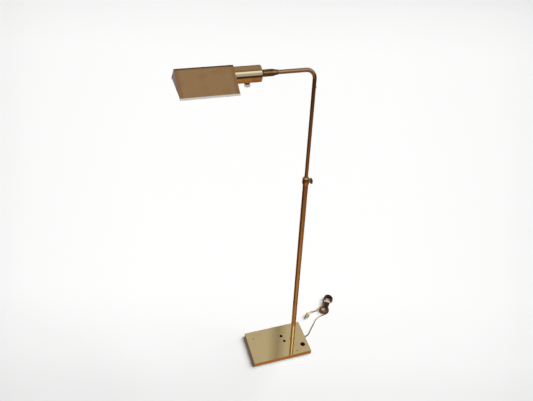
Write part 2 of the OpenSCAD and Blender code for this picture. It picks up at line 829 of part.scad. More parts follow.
// Drawn cup that covers the lampholder, bored for the spindle and the switch
module socket_housing() {
    color(brass) difference() {
        on_arm(housing_at) intersection() {
            rotate_extrude() difference() {
                housing_outline(0);
                housing_outline(housing_wall);
            }
            cylinder(d = housing_d + 2 * cut, h = housing_len);
        }
        on_arm(housing_at - cut) cylinder(d = spindle_d + 2 * seat_gap, h = housing_round + 2 * cut);
        on_switch() cylinder(d = switch_bush_d + 2 * seat_gap, h = housing_d);
    }
}

module socket_cap() {
    color(steel) on_arm(cap_at) ring(cap_d, spindle_d + 2 * seat_gap, cap_t);
}

// Glazed lampholder: a wide switch body and a neck round the screw shell
module lampholder() {
    color("#e9e4d8") difference() {
        union() {
            on_arm(holder_at) cylinder(d = holder_d, h = holder_len - holder_neck_len);
            on_arm(holder_end - holder_neck_len) cylinder(d = holder_neck_d, h = holder_neck_len);
        }
        on_arm(shell_at) cylinder(d = shell_od + 2 * seat_gap, h = shell_len + cut);
        on_arm(shell_at - contact_t - seat_gap) cylinder(d = contact_d + 2 * seat_gap, h = shell_len);
        on_switch() cylinder(d = switch_shaft_d + 2 * run_gap, h = housing_d);
    }
}

module lampholder_shell() {
    color(brass) on_arm(shell_at + seat_gap)
        ring(shell_od, shell_od - 2 * shell_t, shell_len - seat_gap);
}

module lampholder_contact() {
    color(brass) on_arm(shell_at - contact_t) cylinder(d = contact_d, h = contact_t);
}

module switch_bushing() {
    color(brass) on_switch() translate([0, 0, holder_d / 2 + seat_gap])
        ring(switch_bush_d, switch_shaft_d + 2 * run_gap, bush_out - holder_d / 2 - seat_gap);
}

module switch_ring_nut() {
    color(dark_brass) on_switch() difference() {
        translate([0, 0, housing_d / 2 + seat_gap - ring_nut_t])
            cylinder(d = ring_nut_d, h = 2 * ring_nut_t);
        cylinder(d = switch_bush_d + 2 * seat_gap, h = housing_d);
        translate([-housing_d, 0, 0]) rotate([0, 90, 0])
            cylinder(d = housing_d + 2 * seat_gap, h = 2 * housing_d);
    }
}

// Ribbed knob on the switch's shaft
module switch_knob() {
    color("#d8c9a8") on_switch() {
        translate([0, 0, knob_top]) difference() {
            chamfered_disc(knob_d, knob_h, knob_chamfer);
            for (i = [0 : knob_rib_count - 1]) rotate([0, 0, i * 360 / knob_rib_count])
                translate([knob_d / 2, 0, -cut]) cylinder(d = knob_rib_d, h = knob_h + 2 * cut, $fn = 16);
        }
        translate([0, 0, holder_d / 2 - ring_nut_t])
            cylinder(d = switch_shaft_d, h = knob_top + ring_nut_t - holder_d / 2);
    }
}

// Points of the shade's sheet at a depth from its outer face: its fold, and on each side the
// corner where the panel turns into its lip, and the lip's end
function tent_fold(depth, from, to) = arc([0, fold_z], ridge_r - depth, from, to, fold_steps);
function tent_corner(depth, side) =
    let (turn = (fold_angle + lip_angle) / 2, run = depth / cos((fold_angle - lip_angle) / 2))
        [side * (edge_y - run * cos(turn)), edge_z - run * sin(turn)];
function tent_end(depth, side) =
    [side * (lip_end[0] - depth * cos(lip_angle)), lip_end[1] - depth * sin(lip_angle)];

// Folded sheet: two panels from a rounded ridge, each with its lower edge turned down as a lip
module shade_canopy() {
    color(brass) on_arm(shade_at) rotate([0, 0, -90]) linear_extrude(shade_len) polygon(concat(
        [tent_end(0, 1), tent_corner(0, 1)], tent_fold(0, fold_angle, 180 - fold_angle),
        [tent_corner(0, -1), tent_end(0, -1), tent_end(shade_t, -1), tent_corner(shade_t, -1)],
        tent_fold(shade_t, 180 - fold_angle, fold_angle),
        [tent_corner(shade_t, 1), tent_end(shade_t, 1)]
    ));
}

// Gable that closes an end of the shade between its panels
module shade_gable() {
    depth = shade_t + seat_gap;
    rotate([0, 0, -90]) linear_extrude(end_plate_t) polygon(concat(
        [tent_corner(depth, 1)], tent_fold(depth, fold_angle, 180 - fold_angle),
        [tent_corner(depth, -1)]
    ));
}

module shade_end_outer() {
    color(brass) on_arm(shade_end - end_set_back - end_plate_t) shade_gable();
}

module shade_end_inner() {
    color(brass) difference() {
        on_arm(shade_at + end_set_back) shade_gable();
        on_arm(shade_at - cut) cylinder(d = housing_d + 2 * seat_gap, h = end_plate_t + end_set_back + 2 * cut);
    }
}

// Outline of the bulb's glass at a depth from its outer face, for a turn about its axis
module bulb_outline(depth) {
    neck = bulb_neck_share * bulb_len;
    round = bulb_d / 2 - depth;
    polygon([
        [0, -depth], [bulb_cap_d / 2 - depth, -depth], [bulb_cap_d / 2 - depth, 0], [round, neck],
        [round, bulb_len - bulb_d / 2], [0, bulb_len - bulb_d / 2]
    ]);
    intersection() {
        translate([0, bulb_len - bulb_d / 2]) circle(round);
        square([bulb_d, bulb_len + cut]);
    }
}

// Frosted tubular bulb, open only towards its cap
module bulb_glass() {
    color("#efe9dc") on_arm(bulb_glass_at) rotate_extrude() difference() {
        bulb_outline(0);
        bulb_outline(bulb_wall);
    }
}

module bulb_cap() {
    color("#b9a06a") difference() {
        union() {
            on_arm(bulb_cap_at + bulb_tip_len) cylinder(d = bulb_cap_d, h = bulb_cap_len - bulb_tip_len);
            on_arm(bulb_cap_at) cylinder(d1 = bulb_tip_d, d2 = bulb_cap_d, h = bulb_tip_len);
        }
        on_arm(bulb_cap_at + bulb_tip_len + bulb_wall)
            cylinder(d = bulb_cap_d - 2 * bulb_wall, h = bulb_cap_len);
    }
}

module clamp_pad() {
    color(nylon) translate([pad_face, 0, screw_z]) rotate([0, 90, 0]) cylinder(d = screw_d, h = pad_len);
}

// Thumb screw with a knurled, chamfered disc
module thumb_screw() {
    color(brass) translate([0, 0, screw_z]) rotate([0, 90, 0]) {
        translate([0, 0, stem_in]) cylinder(d = screw_d, h = thumb_in - stem_in);
        translate([0, 0, thumb_in]) intersection() {
            chamfered_disc(thumb_d, thumb_t, thumb_chamfer);
            linear_extrude(thumb_t) difference() {
                circle(d = thumb_d);
                for (i = [0 : knurl_count - 1]) rotate(i * 360 / knurl_count)
                    translate([thumb_d / 2, 0]) circle(d = knurl_d, $fn = 16);
            }
        }
    }
}

base_plate();
base_felt();
post_ring();
lower_tube();
post_plug();
base_nipple();
base_washer();
base_nut();
clamp_collar();
top_bush();
bush_screw();
post_lead();
cord_grommet();
cord_lead();
cord_hank();
cord_tie();
cord_tail();
plug_body();
plug_blades();
guide_bush();
upper_tube();
guide_clips();
stop_screw();
swivel_body();
swivel_set_screw();
arm_lead();
swivel_spindle();
spindle_washer();
spindle_nut();
socket_housing();
socket_cap();
lampholder();
lampholder_shell();
lampholder_contact();
switch_bushing();
switch_ring_nut();
switch_knob();
shade_canopy();
shade_end_outer();
shade_end_inner();
bulb_glass();
bulb_cap();
clamp_pad();
thumb_screw();
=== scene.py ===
import math

import bpy
from mathutils import Matrix, Vector


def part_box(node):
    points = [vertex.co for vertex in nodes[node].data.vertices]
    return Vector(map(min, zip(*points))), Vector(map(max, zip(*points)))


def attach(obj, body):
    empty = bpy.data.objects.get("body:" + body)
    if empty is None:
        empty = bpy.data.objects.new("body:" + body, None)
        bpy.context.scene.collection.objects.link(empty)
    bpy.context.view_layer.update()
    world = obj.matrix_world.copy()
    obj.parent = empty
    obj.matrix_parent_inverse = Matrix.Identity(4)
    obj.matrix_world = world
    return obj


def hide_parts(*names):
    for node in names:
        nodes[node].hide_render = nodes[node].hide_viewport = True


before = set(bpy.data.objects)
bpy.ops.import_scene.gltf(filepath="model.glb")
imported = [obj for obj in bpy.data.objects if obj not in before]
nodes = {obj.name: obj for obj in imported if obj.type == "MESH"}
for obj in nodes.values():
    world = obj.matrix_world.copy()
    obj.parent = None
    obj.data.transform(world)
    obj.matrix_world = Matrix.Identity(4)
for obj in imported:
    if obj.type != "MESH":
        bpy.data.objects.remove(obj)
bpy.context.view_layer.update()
bpy.ops.object.select_all(action="DESELECT")

# Polished brass
# The lamp's skin: drawn and turned brass under old lacquer, buffed along its length. The lacquer
# has yellowed in clouds, and fine hairlines from wiping run over it. Every brass piece shares it.
BRASS = (0.90, 0.74, 0.42)
DULL_BRASS = (0.62, 0.44, 0.22)


class Recipe:
    """A tree of shader nodes, with short ways to add nodes to it and to join them."""

    def __init__(self, tree):
        self.tree = tree

    def set(self, node, **values):
        """Sets or links sockets, by their identifiers or else by their names."""
        known = {socket.identifier: socket for socket in node.inputs}
        for name, value in values.items():
            socket = known.get(name) or node.inputs[name.replace("_", " ")]
            if isinstance(value, bpy.types.NodeSocket):
                self.tree.links.new(value, socket)
            else:
                socket.default_value = (*value, 1) if socket.type == "RGBA" else value
        return node

    def add(self, kind, settings=None, **values):
        node = self.tree.nodes.new("ShaderNode" + kind)
        for name, value in (settings or {}).items():
            setattr(node, name, value)
        return self.set(node, **values)

    def place(self, stretch=(1, 1, 1), turn=(0, 0, 0)):
        """The piece's own coordinates in metres, stretched or turned for a pattern."""
        return self.add("Mapping", Vector=self.add("TexCoord").outputs["Object"], Scale=stretch,
                        Rotation=turn).outputs["Vector"]

    def noise(self, scale, detail, vector=None, **more):
        return self.add("TexNoise", Vector=vector or self.place(), Scale=scale, Detail=detail,
                        **more).outputs["Fac"]

    def span(self, value, low=0.0, high=1.0, first=0.0, last=1.0, kind="LINEAR"):
        """Turns the stretch between two values into the stretch between two others."""
        return self.add("MapRange", {"interpolation_type": kind}, Value=value, From_Min=low,
                        From_Max=high, To_Min=first, To_Max=last).outputs[0]

    def calculate(self, operation, *values):
        sockets = dict(zip(("Value", "Value_001", "Value_002"), values))
        return self.add("Math", {"operation": operation}, **sockets).outputs[0]

    def mix(self, share, first, second, blend="MIX"):
        return self.add("Mix", {"data_type": "RGBA", "blend_type": blend}, Factor_Float=share,
                        A_Color=first, B_Color=second).outputs[2]

    def bump(self, height, strength, distance, **more):
        return self.add("Bump", Height=height, Strength=strength, Distance=distance,
                        **more).outputs["Normal"]


class Finish(Recipe):
    """A material with its one Principled shader."""

    def __init__(self, name, colour, roughness, metallic=0.0, **sockets):
        self.material = bpy.data.materials.new(name)
        self.material.use_nodes = True
        super().__init__(self.material.node_tree)
        self.look(Base_Color=colour, Roughness=roughness, Metallic=metallic, **sockets)

    def look(self, **sockets):
        self.set(self.tree.nodes["Principled BSDF"], **sockets)

    def dress(self, *pieces):
        for piece in pieces:
            piece.data.materials.clear()
            piece.data.materials.append(self.material)


class Effect(Recipe):
    """A node group that finishes share. Its inputs and outputs are named, with their kinds."""

    def __init__(self, name, inputs, outputs):
        super().__init__(bpy.data.node_groups.new(name, "ShaderNodeTree"))
        for way, sockets in (("INPUT", inputs), ("OUTPUT", outputs)):
            for socket, kind in sockets.items():
                self.tree.interface.new_socket(socket, in_out=way, socket_type="NodeSocket" + kind)
        self.given = self.tree.nodes.new("NodeGroupInput").outputs
        self.result = self.tree.nodes.new("NodeGroupOutput")


# Lacquer clouds: where the film has aged, the metal under it looks duller and less sharp.
clouds = Effect("lacquer_clouds",
                {"Vector": "Vector", "Clean": "Color", "Dull": "Color", "Size": "Float",
                 "Share": "Float", "Sharp": "Float", "Soft": "Float"},
                {"Color": "Color", "Roughness": "Float"})
CLOUD_EDGE = 0.26
SPECK_SCALE = 420.0
cloud = clouds.noise(scale=clouds.given["Size"], detail=5.0, vector=clouds.given["Vector"],
                     Roughness=0.62)
cloud = clouds.span(cloud, low=clouds.given["Share"],
                    high=clouds.calculate("ADD", clouds.given["Share"], CLOUD_EDGE))
speck = clouds.noise(scale=SPECK_SCALE, detail=2.0, vector=clouds.given["Vector"])
speck = clouds.span(speck, low=0.64, high=0.78, last=0.7)
aged = clouds.calculate("MAXIMUM", cloud, speck)
clouds.set(clouds.result, Color=clouds.mix(aged, clouds.given["Clean"], clouds.given["Dull"]),
           Roughness=clouds.span(aged, first=clouds.given["Sharp"], last=clouds.given["Soft"]))

# Hairlines: fine buffing marks, drawn out along one direction by the stretch of the coordinates.
# The sheet under them may swell a little.
hairlines = Effect("hairlines", {"Vector": "Vector", "Depth": "Float", "Wobble": "Float"},
                   {"Normal": "Vector"})
swell = hairlines.bump(hairlines.noise(scale=9.0, detail=1.0),
                       strength=hairlines.given["Wobble"], distance=0.002)
line = hairlines.noise(scale=1.0, detail=3.0, vector=hairlines.given["Vector"])
groove = hairlines.bump(line, strength=hairlines.given["Depth"], distance=0.0002, Normal=swell)
hairlines.set(hairlines.result, Normal=groove)

# Stretch of the hairlines: buffed along a tube, or cut round a turned piece
ALONG_X = (24, 2600, 2600)
ALONG_Z = (2600, 2600, 24)
ALONG_BEND = (24, 2600, 24)
ROUND_X = (2600, 24, 24)
ROUND_Z = (24, 24, 2600)


def brass_finish(name, stretch, size, sharp, soft, clean=BRASS, dull=DULL_BRASS, share=0.5,
                 depth=0.05, wobble=0.0):
    """Polished brass with its lacquer clouds and its hairlines."""
    brass = Finish(name, clean, roughness=sharp, metallic=1.0)
    lacquer = brass.add("Group", {"node_tree": clouds.tree}, Vector=brass.place(), Clean=clean,
                        Dull=dull, Size=size, Share=share, Sharp=sharp, Soft=soft)
    marks = brass.add("Group", {"node_tree": hairlines.tree}, Vector=brass.place(stretch),
                      Depth=depth, Wobble=wobble)
    brass.colour = lacquer.outputs["Color"]
    brass.gloss = lacquer.outputs["Roughness"]
    brass.look(Base_Color=brass.colour, Roughness=brass.gloss, Normal=marks.outputs["Normal"])
    return brass


# Base plate
# A slab of steel plated in brass, sawn, ground flat and chamfered along its upper edges. Three
# holes are drilled through it, and a pocket and a channel below take the nut and the lead.
def pick(piece):
    """Selects one piece alone."""
    bpy.ops.object.select_all(action="DESELECT")
    piece.select_set(True)
    bpy.context.view_layer.objects.active = piece


def finished(piece, body, slot, material, *replaced):
    """Gives a new piece its body and finish, and hides the nodes it stands for. The slot is not
    used.
    """
    bpy.ops.object.select_all(action="DESELECT")
    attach(piece, body)
    material.dress(piece)
    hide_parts(*replaced)


def apply_modifier(piece, kind, **settings):
    bpy.context.view_layer.objects.active = piece
    modifier = piece.modifiers.new(kind.lower(), kind)
    for name, value in settings.items():
        setattr(modifier, name, value)
    bpy.ops.object.modifier_apply(modifier=modifier.name)


def smooth(piece, angle=32):
    pick(piece)
    bpy.ops.object.shade_smooth_by_angle(angle=math.radians(angle))
    piece.select_set(False)


def soften(piece, width, segments=2, angle=30):
    """Breaks a piece's sharp edges and smooths its round stretches, and keeps its flats flat."""
    apply_modifier(piece, "BEVEL", width=width, segments=segments, limit_method="ANGLE",
                   angle_limit=math.radians(angle))
    smooth(piece)
    apply_modifier(piece, "WEIGHTED_NORMAL", keep_sharp=True)


def settle(piece, turn=None, place=(0, 0, 0)):
    """Turns and moves a piece to its place, which then goes into its mesh."""
    pick(piece)
    turn = (turn or Matrix()).to_4x4()
    piece.matrix_world = Matrix.Translation(place) @ turn @ piece.matrix_world
    bpy.ops.object.transform_apply(location=True, rotation=True, scale=True)
    piece.select_set(False)


def join_or_cut(piece, tool, operation):
    """Adds a tool to a piece or cuts it away, and removes the tool."""
    apply_modifier(piece, "BOOLEAN", object=tool, operation=operation, solver="EXACT")
    bpy.data.objects.remove(tool)


def drill(piece, diameter, place, depth, turn=None, sides=48):
    """Cuts a round hole that starts at a place and goes along the tool's Z."""
    bpy.ops.mesh.primitive_cylinder_add(vertices=sides, radius=diameter / 2, depth=depth)
    tool = bpy.context.object
    settle(tool, place=(0, 0, depth / 2))
    settle(tool, turn, place)
    join_or_cut(piece, tool, "DIFFERENCE")


def block(name, low, high):
    """A box between two corners, with its size in its mesh."""
    middle = (Vector(low) + Vector(high)) / 2
    bpy.ops.mesh.primitive_cube_add(size=1, location=middle, scale=Vector(high) - Vector(low))
    piece = bpy.context.object
    piece.name = name
    bpy.ops.object.transform_apply(location=True, rotation=True, scale=True)
    return piece


plate_low, plate_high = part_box("base_plate")
plate_mid = (plate_low + plate_high) / 2
plate_size = plate_high - plate_low


def on_plate(share_x, share_y, height):
    """A place over the plate, by shares of its length and width from its middle."""
    return (plate_mid.x + share_x * plate_size.x, plate_mid.y + share_y * plate_size.y, height)


def near(finish, centre, reach):
    """One at a place on a piece, fading to nothing at a distance from it."""
    ball = finish.add("Mapping", {"vector_type": "TEXTURE"}, Location=centre, Scale=(reach,) * 3,
                      Vector=finish.add("TexCoord").outputs["Object"])
    return finish.add("TexGradient", {"gradient_type": "SPHERICAL"},
                      Vector=ball.outputs[0]).outputs["Fac"]


base_plate = block("plate", plate_low, plate_high)
# Where the three holes are, and their diameters
HOLES = ((0.12, -0.022, 0.0125), (0.098, 0.154, 0.0135), (0.405, -0.254, 0.021))
NIPPLE_HOLE_D = 0.0098
POCKET_D = 0.030
POCKET_H = 0.013
CHANNEL = 0.007
CHANNEL_MOUTH = (0.058, 0.0061)
# A tool starts this far outside the face that it cuts or joins.
CUT = 0.001
under = plate_low.z - CUT
through = plate_size.z + 2 * CUT
for share_x, share_y, hole_d in HOLES:
    drill(base_plate, hole_d, on_plate(share_x, share_y, under), through)
drill(base_plate, NIPPLE_HOLE_D, (0, 0, under), through)
drill(base_plate, POCKET_D, (0, 0, under), POCKET_H + CUT)
channel = block("channel", (0, -CHANNEL / 2, under),
                (plate_size.x, CHANNEL / 2, plate_low.z + CHANNEL))
settle(channel, Matrix.Rotation(math.atan2(CHANNEL_MOUTH[1], CHANNEL_MOUTH[0]), 4, "Z"))
join_or_cut(base_plate, channel, "DIFFERENCE")
soften(base_plate, width=0.0009, segments=3)
base_brass = brass_finish("base_brass", ALONG_X, size=11.0, sharp=0.06, soft=0.12,
                          dull=(0.84, 0.68, 0.40), depth=0.03)
# Two small stains, where water has stood on the lacquer
STAINS = ((-0.384, 0.267), (0.268, -0.408))
STAIN_R = 0.0045
STAIN = (0.36, 0.28, 0.13)
for share_x, share_y in STAINS:
    water = near(base_brass, on_plate(share_x, share_y, plate_high.z), STAIN_R)
    base_brass.colour = base_brass.mix(base_brass.span(water, high=0.5), base_brass.colour, STAIN)
base_brass.look(Base_Color=base_brass.colour)
finished(base_plate, "stand", "base_brass", base_brass, "base_plate")


# Base felt
# Dark green-brown felt glued under the plate, cut a little smaller than it.
def ramp(finish, value, *stops):
    """Colours by a value. Each stop gives a value and the colour that belongs to it."""
    low, high = stops[0][0], stops[-1][0]
    node = finish.add("ValToRGB", Fac=finish.span(value, low, high))
    elements = node.color_ramp.elements
    elements.remove(elements[-1])
    for number, (at, colour) in enumerate(stops):
        share = (at - low) / (high - low)
        stop = elements.new(share) if number else elements[0]
        stop.position = share
        stop.color = (*colour, 1)
    return node.outputs["Color"]


felt = Finish("felt", (0.030, 0.031, 0.022), roughness=0.95, Sheen_Weight=0.6, Sheen_Roughness=0.5)
wool = felt.noise(scale=900.0, detail=4.0)
felt.look(Base_Color=ramp(felt, wool, (0, (0.016, 0.018, 0.012)), (1, (0.060, 0.060, 0.046))),
          Normal=felt.bump(wool, strength=0.6, distance=0.0004))
felt.dress(nodes["base_felt"])

# Fixings under the post
# A hollow steel nipple screws into the slug brazed in the post, and a nut and washer draw it down.
# The clips of the guide bush, the spindle's nut and washer, and the socket's cap are steel too.
steel = Finish("zinc_steel", (0.55, 0.54, 0.51), roughness=0.38, metallic=1.0)
zinc = steel.noise(scale=260.0, detail=4.0)
steel.look(Roughness=steel.span(zinc, first=0.28, last=0.52),
           Normal=steel.bump(zinc, strength=0.12, distance=0.0002))
for part in ("base_nipple", "base_washer", "base_nut", "post_plug", "guide_clips",
             "spindle_washer", "spindle_nut", "socket_cap"):
    steel.dress(nodes[part])


# Post
# Two drawn tubes, 19 mm below and 12.7 mm above. A turned ring covers the joint with the plate.
def turned(name, stations, sides=64, hollow=False):
    """A piece turned on a lathe about Z, from rings given by their height and radius."""
    height, radius = stations[0]
    bpy.ops.mesh.primitive_circle_add(vertices=sides, radius=radius, location=(0, 0, height))
    piece = bpy.context.object
    piece.name = name
    bpy.ops.object.transform_apply(location=True)
    bpy.ops.object.mode_set(mode="EDIT")
    for next_height, next_radius in stations[1:]:
        bpy.ops.mesh.extrude_region_move(
            TRANSFORM_OT_translate={"value": (0, 0, next_height - height)})
        share = next_radius / radius
        bpy.ops.transform.resize(value=(share, share, 1), center_override=(0, 0, next_height))
        height, radius = next_height, next_radius
    bpy.ops.mesh.select_all(action="DESELECT")
    bpy.ops.mesh.select_non_manifold()
    if hollow:
        bpy.ops.mesh.bridge_edge_loops()
    else:
        bpy.ops.mesh.fill_holes(sides=0)
    bpy.ops.mesh.select_all(action="SELECT")
    bpy.ops.mesh.normals_make_consistent(inside=False)
    bpy.ops.object.mode_set(mode="OBJECT")
    return piece


ring_low, ring_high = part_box("post_ring")
tube_low, tube_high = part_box("lower_tube")
lower_r = tube_high.x
LOWER_WALL = 0.0012
SOLDER = 0.0001
seat_r = lower_r + SOLDER
ring_r = ring_high.x
ring = turned("foot_ring", [(ring_low.z, seat_r), (ring_low.z, ring_r), (ring_high.z, ring_r),
                            (ring_high.z, seat_r)], hollow=True)
soften(ring, width=0.0011, segments=4)
post_brass = brass_finish("post_brass", ALONG_Z, size=14.0, sharp=0.06, soft=0.16)
finished(ring, "stand", "brass", post_brass, "post_ring")

bore_r = lower_r - LOWER_WALL
lower_tube = turned("post_tube", [(tube_low.z, lower_r), (tube_high.z, lower_r),
                                  (tube_high.z, bore_r), (tube_low.z, bore_r)],
                    sides=96, hollow=True)
soften(lower_tube, width=0.0002)
finished(lower_tube, "stand", "brass", post_brass, "lower_tube")


# Clamp collar
# Turned brass, soldered on the head of the lower tube, with a boss for the thumb screw.
def lay(*towards):
    """The turn that lays a lathe piece's Z along another direction."""
    return Vector((0, 0, 1)).rotation_difference(Vector(towards)).to_matrix()


collar_low, collar_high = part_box("clamp_collar")
COLLAR_R = 0.0127
FOOT_TAPER = 0.002
FOOT_TAPER_H = 0.007
HEAD_TAPER = 0.0012
HEAD_TAPER_H = 0.004
SCREW_UP = 0.010
BOSS_R = 0.005
SCREW_HOLE_D = 0.0061
SCREW_HOLE_LEN = 0.03
UPPER_R = 0.00635
SLIDING_FIT = 0.00025
TO_RIGHT = lay(1, 0, 0)
screw_z = collar_low.z + SCREW_UP
lip_z = tube_high.z
mouth_r = UPPER_R + SLIDING_FIT
collar = turned("collar", [
    (collar_low.z, seat_r), (collar_low.z, COLLAR_R - FOOT_TAPER),
    (collar_low.z + FOOT_TAPER_H, COLLAR_R), (collar_high.z - HEAD_TAPER_H, COLLAR_R),
    (collar_high.z, COLLAR_R - HEAD_TAPER), (collar_high.z, mouth_r),
    (lip_z, mouth_r), (lip_z, seat_r)], hollow=True)
boss = turned("boss", [(lower_r + CUT, BOSS_R), (collar_high.x, BOSS_R)], sides=48)
settle(boss, TO_RIGHT, (0, 0, screw_z))
join_or_cut(collar, boss, "UNION")
drill(collar, SCREW_HOLE_D, (CUT, 0, screw_z), SCREW_HOLE_LEN, TO_RIGHT, sides=32)
soften(collar, width=0.0004)
collar_brass = brass_finish("collar_brass", ROUND_Z, size=60.0, sharp=0.1, soft=0.2, share=0.45)
finished(collar, "stand", "brass", collar_brass, "clamp_collar")


# Thumb screw
# A brass disc with a straight knurl, turned with its stem, that presses a nylon pad on the tube.
# The small screws, the flange of the spindle and the switch's ring nut have darkened with it.
def knurled(name, stations, ribs, depth, rim):
    """A turned piece that is drawn in at every fourth point of what lies past a radius."""
    piece = turned(name, stations, sides=4 * ribs)
    bpy.ops.object.mode_set(mode="EDIT")
    bpy.ops.mesh.select_all(action="DESELECT")
    bpy.ops.object.mode_set(mode="OBJECT")
    for vertex in piece.data.vertices:
        rib = math.atan2(vertex.co.y, vertex.co.x) / math.tau * ribs
        vertex.select = abs(rib - round(rib)) < 0.1 and vertex.co.xy.length > rim
    bpy.ops.object.mode_set(mode="EDIT")
    bpy.ops.transform.resize(value=(1 - depth, 1 - depth, 1), center_override=(0, 0, 0))
    bpy.ops.object.mode_set(mode="OBJECT")
    return piece


thumb_low, thumb_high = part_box("thumb_screw")
disc_r = (thumb_high.z - thumb_low.z) / 2
DISC_T = 0.006
STEM_R = 0.003
KNURL = 0.07
KNURL_H = 0.001
# The rounded edge of the disc, by distances in from its face and from its rim
DISC_EDGE = ((0, 0.0016), (0.0008, 0.0004), (0.0014, 0))
DISH_R = 0.0065
DISH_FLOOR_R = 0.0055
DISH_DEPTH = 0.0007
# The last ring of an end, which is then filled
CLOSING_R = 0.001
disc_in = thumb_high.x - DISC_T
disc_out = thumb_high.x
dish_floor = disc_out - DISH_DEPTH
thumb = knurled("thumb_disc", [
    (thumb_low.x, STEM_R), (disc_in, STEM_R),
    *[(disc_in + inward, disc_r - drop) for inward, drop in DISC_EDGE],
    *[(disc_out - inward, disc_r - drop) for inward, drop in reversed(DISC_EDGE)],
    (disc_out, DISH_R), (dish_floor, DISH_FLOOR_R), (dish_floor, CLOSING_R)],
    ribs=28, depth=KNURL, rim=disc_r - KNURL_H)
settle(thumb, TO_RIGHT, (0, 0, screw_z))
soften(thumb, width=0.00015, segments=1, angle=40)
dark_brass = brass_finish("dark_brass", ROUND_X, size=90.0, sharp=0.2, soft=0.42, share=0.38,
                          clean=(0.50, 0.40, 0.20), dull=(0.20, 0.15, 0.07))
finished(thumb, "thumb", "brass", dark_brass, "thumb_screw")
dark_brass.dress(nodes["bush_screw"], nodes["swivel_set_screw"], nodes["swivel_spindle"],
                 nodes["switch_ring_nut"])

nylon = Finish("nylon", (0.78, 0.72, 0.60), roughness=0.42, Specular_IOR_Level=0.45)
yellowing = nylon.noise(scale=120.0, detail=3.0)
nylon.look(Base_Color=ramp(nylon, yellowing, (0, (0.80, 0.74, 0.62)), (1, (0.62, 0.52, 0.36))),
           Normal=nylon.bump(yellowing, strength=0.05, distance=0.0003))
nylon.dress(nodes["clamp_pad"], nodes["top_bush"], nodes["guide_bush"])


# Sliding post and arm
# One length of half-inch tube, bent round a former to make the arm, and soldered in the swivel.
# Its outline is drawn up from the foot, spun round the bend and drawn along the arm.
def metres_along(finish, axis, turn=(0, 0, 0)):
    """Metres along one axis of a piece."""
    return finish.add("SeparateXYZ", Vector=finish.place(turn=turn)).outputs[axis]


upper_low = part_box("upper_tube")[0]
swivel_low, swivel_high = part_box("swivel_body")
arm_z = (swivel_low.z + swivel_high.z) / 2
BEND_R = 0.030
UPPER_WALL = 0.001
bend_z = arm_z - BEND_R
bpy.ops.mesh.primitive_circle_add(vertices=64, radius=UPPER_R, location=(0, 0, upper_low.z))
upper_tube = bpy.context.object
upper_tube.name = "sliding_tube"
bpy.ops.object.transform_apply(location=True)
bpy.ops.object.mode_set(mode="EDIT")
bpy.ops.mesh.extrude_region_move(TRANSFORM_OT_translate={"value": (0, 0, bend_z - upper_low.z)})
bpy.ops.mesh.spin(steps=16, angle=math.pi / 2, center=(-BEND_R, 0, bend_z), axis=(0, 1, 0))
bpy.ops.mesh.extrude_region_move(TRANSFORM_OT_translate={"value": (upper_low.x + BEND_R, 0, 0)})
bpy.ops.mesh.select_all(action="SELECT")
bpy.ops.mesh.remove_doubles(threshold=0.00001)
bpy.ops.mesh.normals_make_consistent(inside=False)
bpy.ops.object.mode_set(mode="OBJECT")
apply_modifier(upper_tube, "SOLIDIFY", thickness=UPPER_WALL, offset=-1)
smooth(upper_tube)
arm_brass = brass_finish("arm_brass", ALONG_BEND, size=16.0, sharp=0.06, soft=0.16)
# Dust and hands have dulled the arm, which lies level.
DUSTY = (0.70, 0.49, 0.27)
DUSTY_GLOSS = 0.34
level = arm_brass.span(metres_along(arm_brass, "Z"), bend_z, arm_z - UPPER_R)
smear = arm_brass.calculate("MULTIPLY", level, DUSTY_GLOSS)
arm_brass.look(Base_Color=arm_brass.mix(level, arm_brass.colour, DUSTY),
               Roughness=arm_brass.calculate("MAXIMUM", smear, arm_brass.gloss))
finished(upper_tube, "mast", "brass", arm_brass, "upper_tube")
arm_brass.dress(nodes["stop_screw"])

# Swivel
# Turned brass: a bead and a tapered neck hold the arm's end, and the barrel holds the spindle's
# nut. A set screw on top holds the arm in it. The dark flange beyond it turns with the head.
TO_SHADE = lay(-1, 0, 0)
arm_axis = (0, 0, arm_z)
swivel_from = -swivel_high.x
swivel_to = -swivel_low.x
barrel_r = swivel_high.y
BEAD_R = 0.00785
NECK_R = 0.0075
TUBE_HOLE_R = UPPER_R + 0.00004
SPINDLE_HOLE_R = 0.00405
WEB = 0.008
SET_SCREW_AT = 0.136
SET_SCREW_HOLE_D = 0.0031
SET_SCREW_HOLE_LEN = 0.02
swivel = turned("swivel_barrel", [
    (swivel_from, TUBE_HOLE_R), (swivel_from, BEAD_R - 0.0006), (swivel_from + 0.0005, BEAD_R),
    (swivel_from + 0.0015, BEAD_R), (swivel_from + 0.002, NECK_R),
    (swivel_from + 0.009, NECK_R + 0.0011), (swivel_from + 0.016, barrel_r),
    (swivel_to, barrel_r), (swivel_to, SPINDLE_HOLE_R), (swivel_to - WEB, SPINDLE_HOLE_R),
    (swivel_to - WEB, TUBE_HOLE_R)], hollow=True)
settle(swivel, TO_SHADE, arm_axis)
drill(swivel, SET_SCREW_HOLE_D, (-SET_SCREW_AT, 0, arm_z + TUBE_HOLE_R - CUT), SET_SCREW_HOLE_LEN,
      sides=24)
soften(swivel, width=0.0004)
turned_brass = brass_finish("turned_brass", ROUND_X, size=70.0, sharp=0.07, soft=0.2, share=0.42,
                            clean=(0.50, 0.36, 0.17), dull=(0.24, 0.14, 0.055))
finished(swivel, "mast", "brass", turned_brass, "swivel_body")


# Socket housing
# A cup drawn from brass sheet, polished, that covers the lampholder. The spindle clamps it, and
# the switch comes out through a hole in its side.
def arc(centre, radius, start, end, steps):
    """Points of an arc, with its angles in degrees."""
    turns = [math.radians(start + (end - start) * i / steps) for i in range(steps + 1)]
    return [(centre[0] + radius * math.cos(t), centre[1] + radius * math.sin(t)) for t in turns]


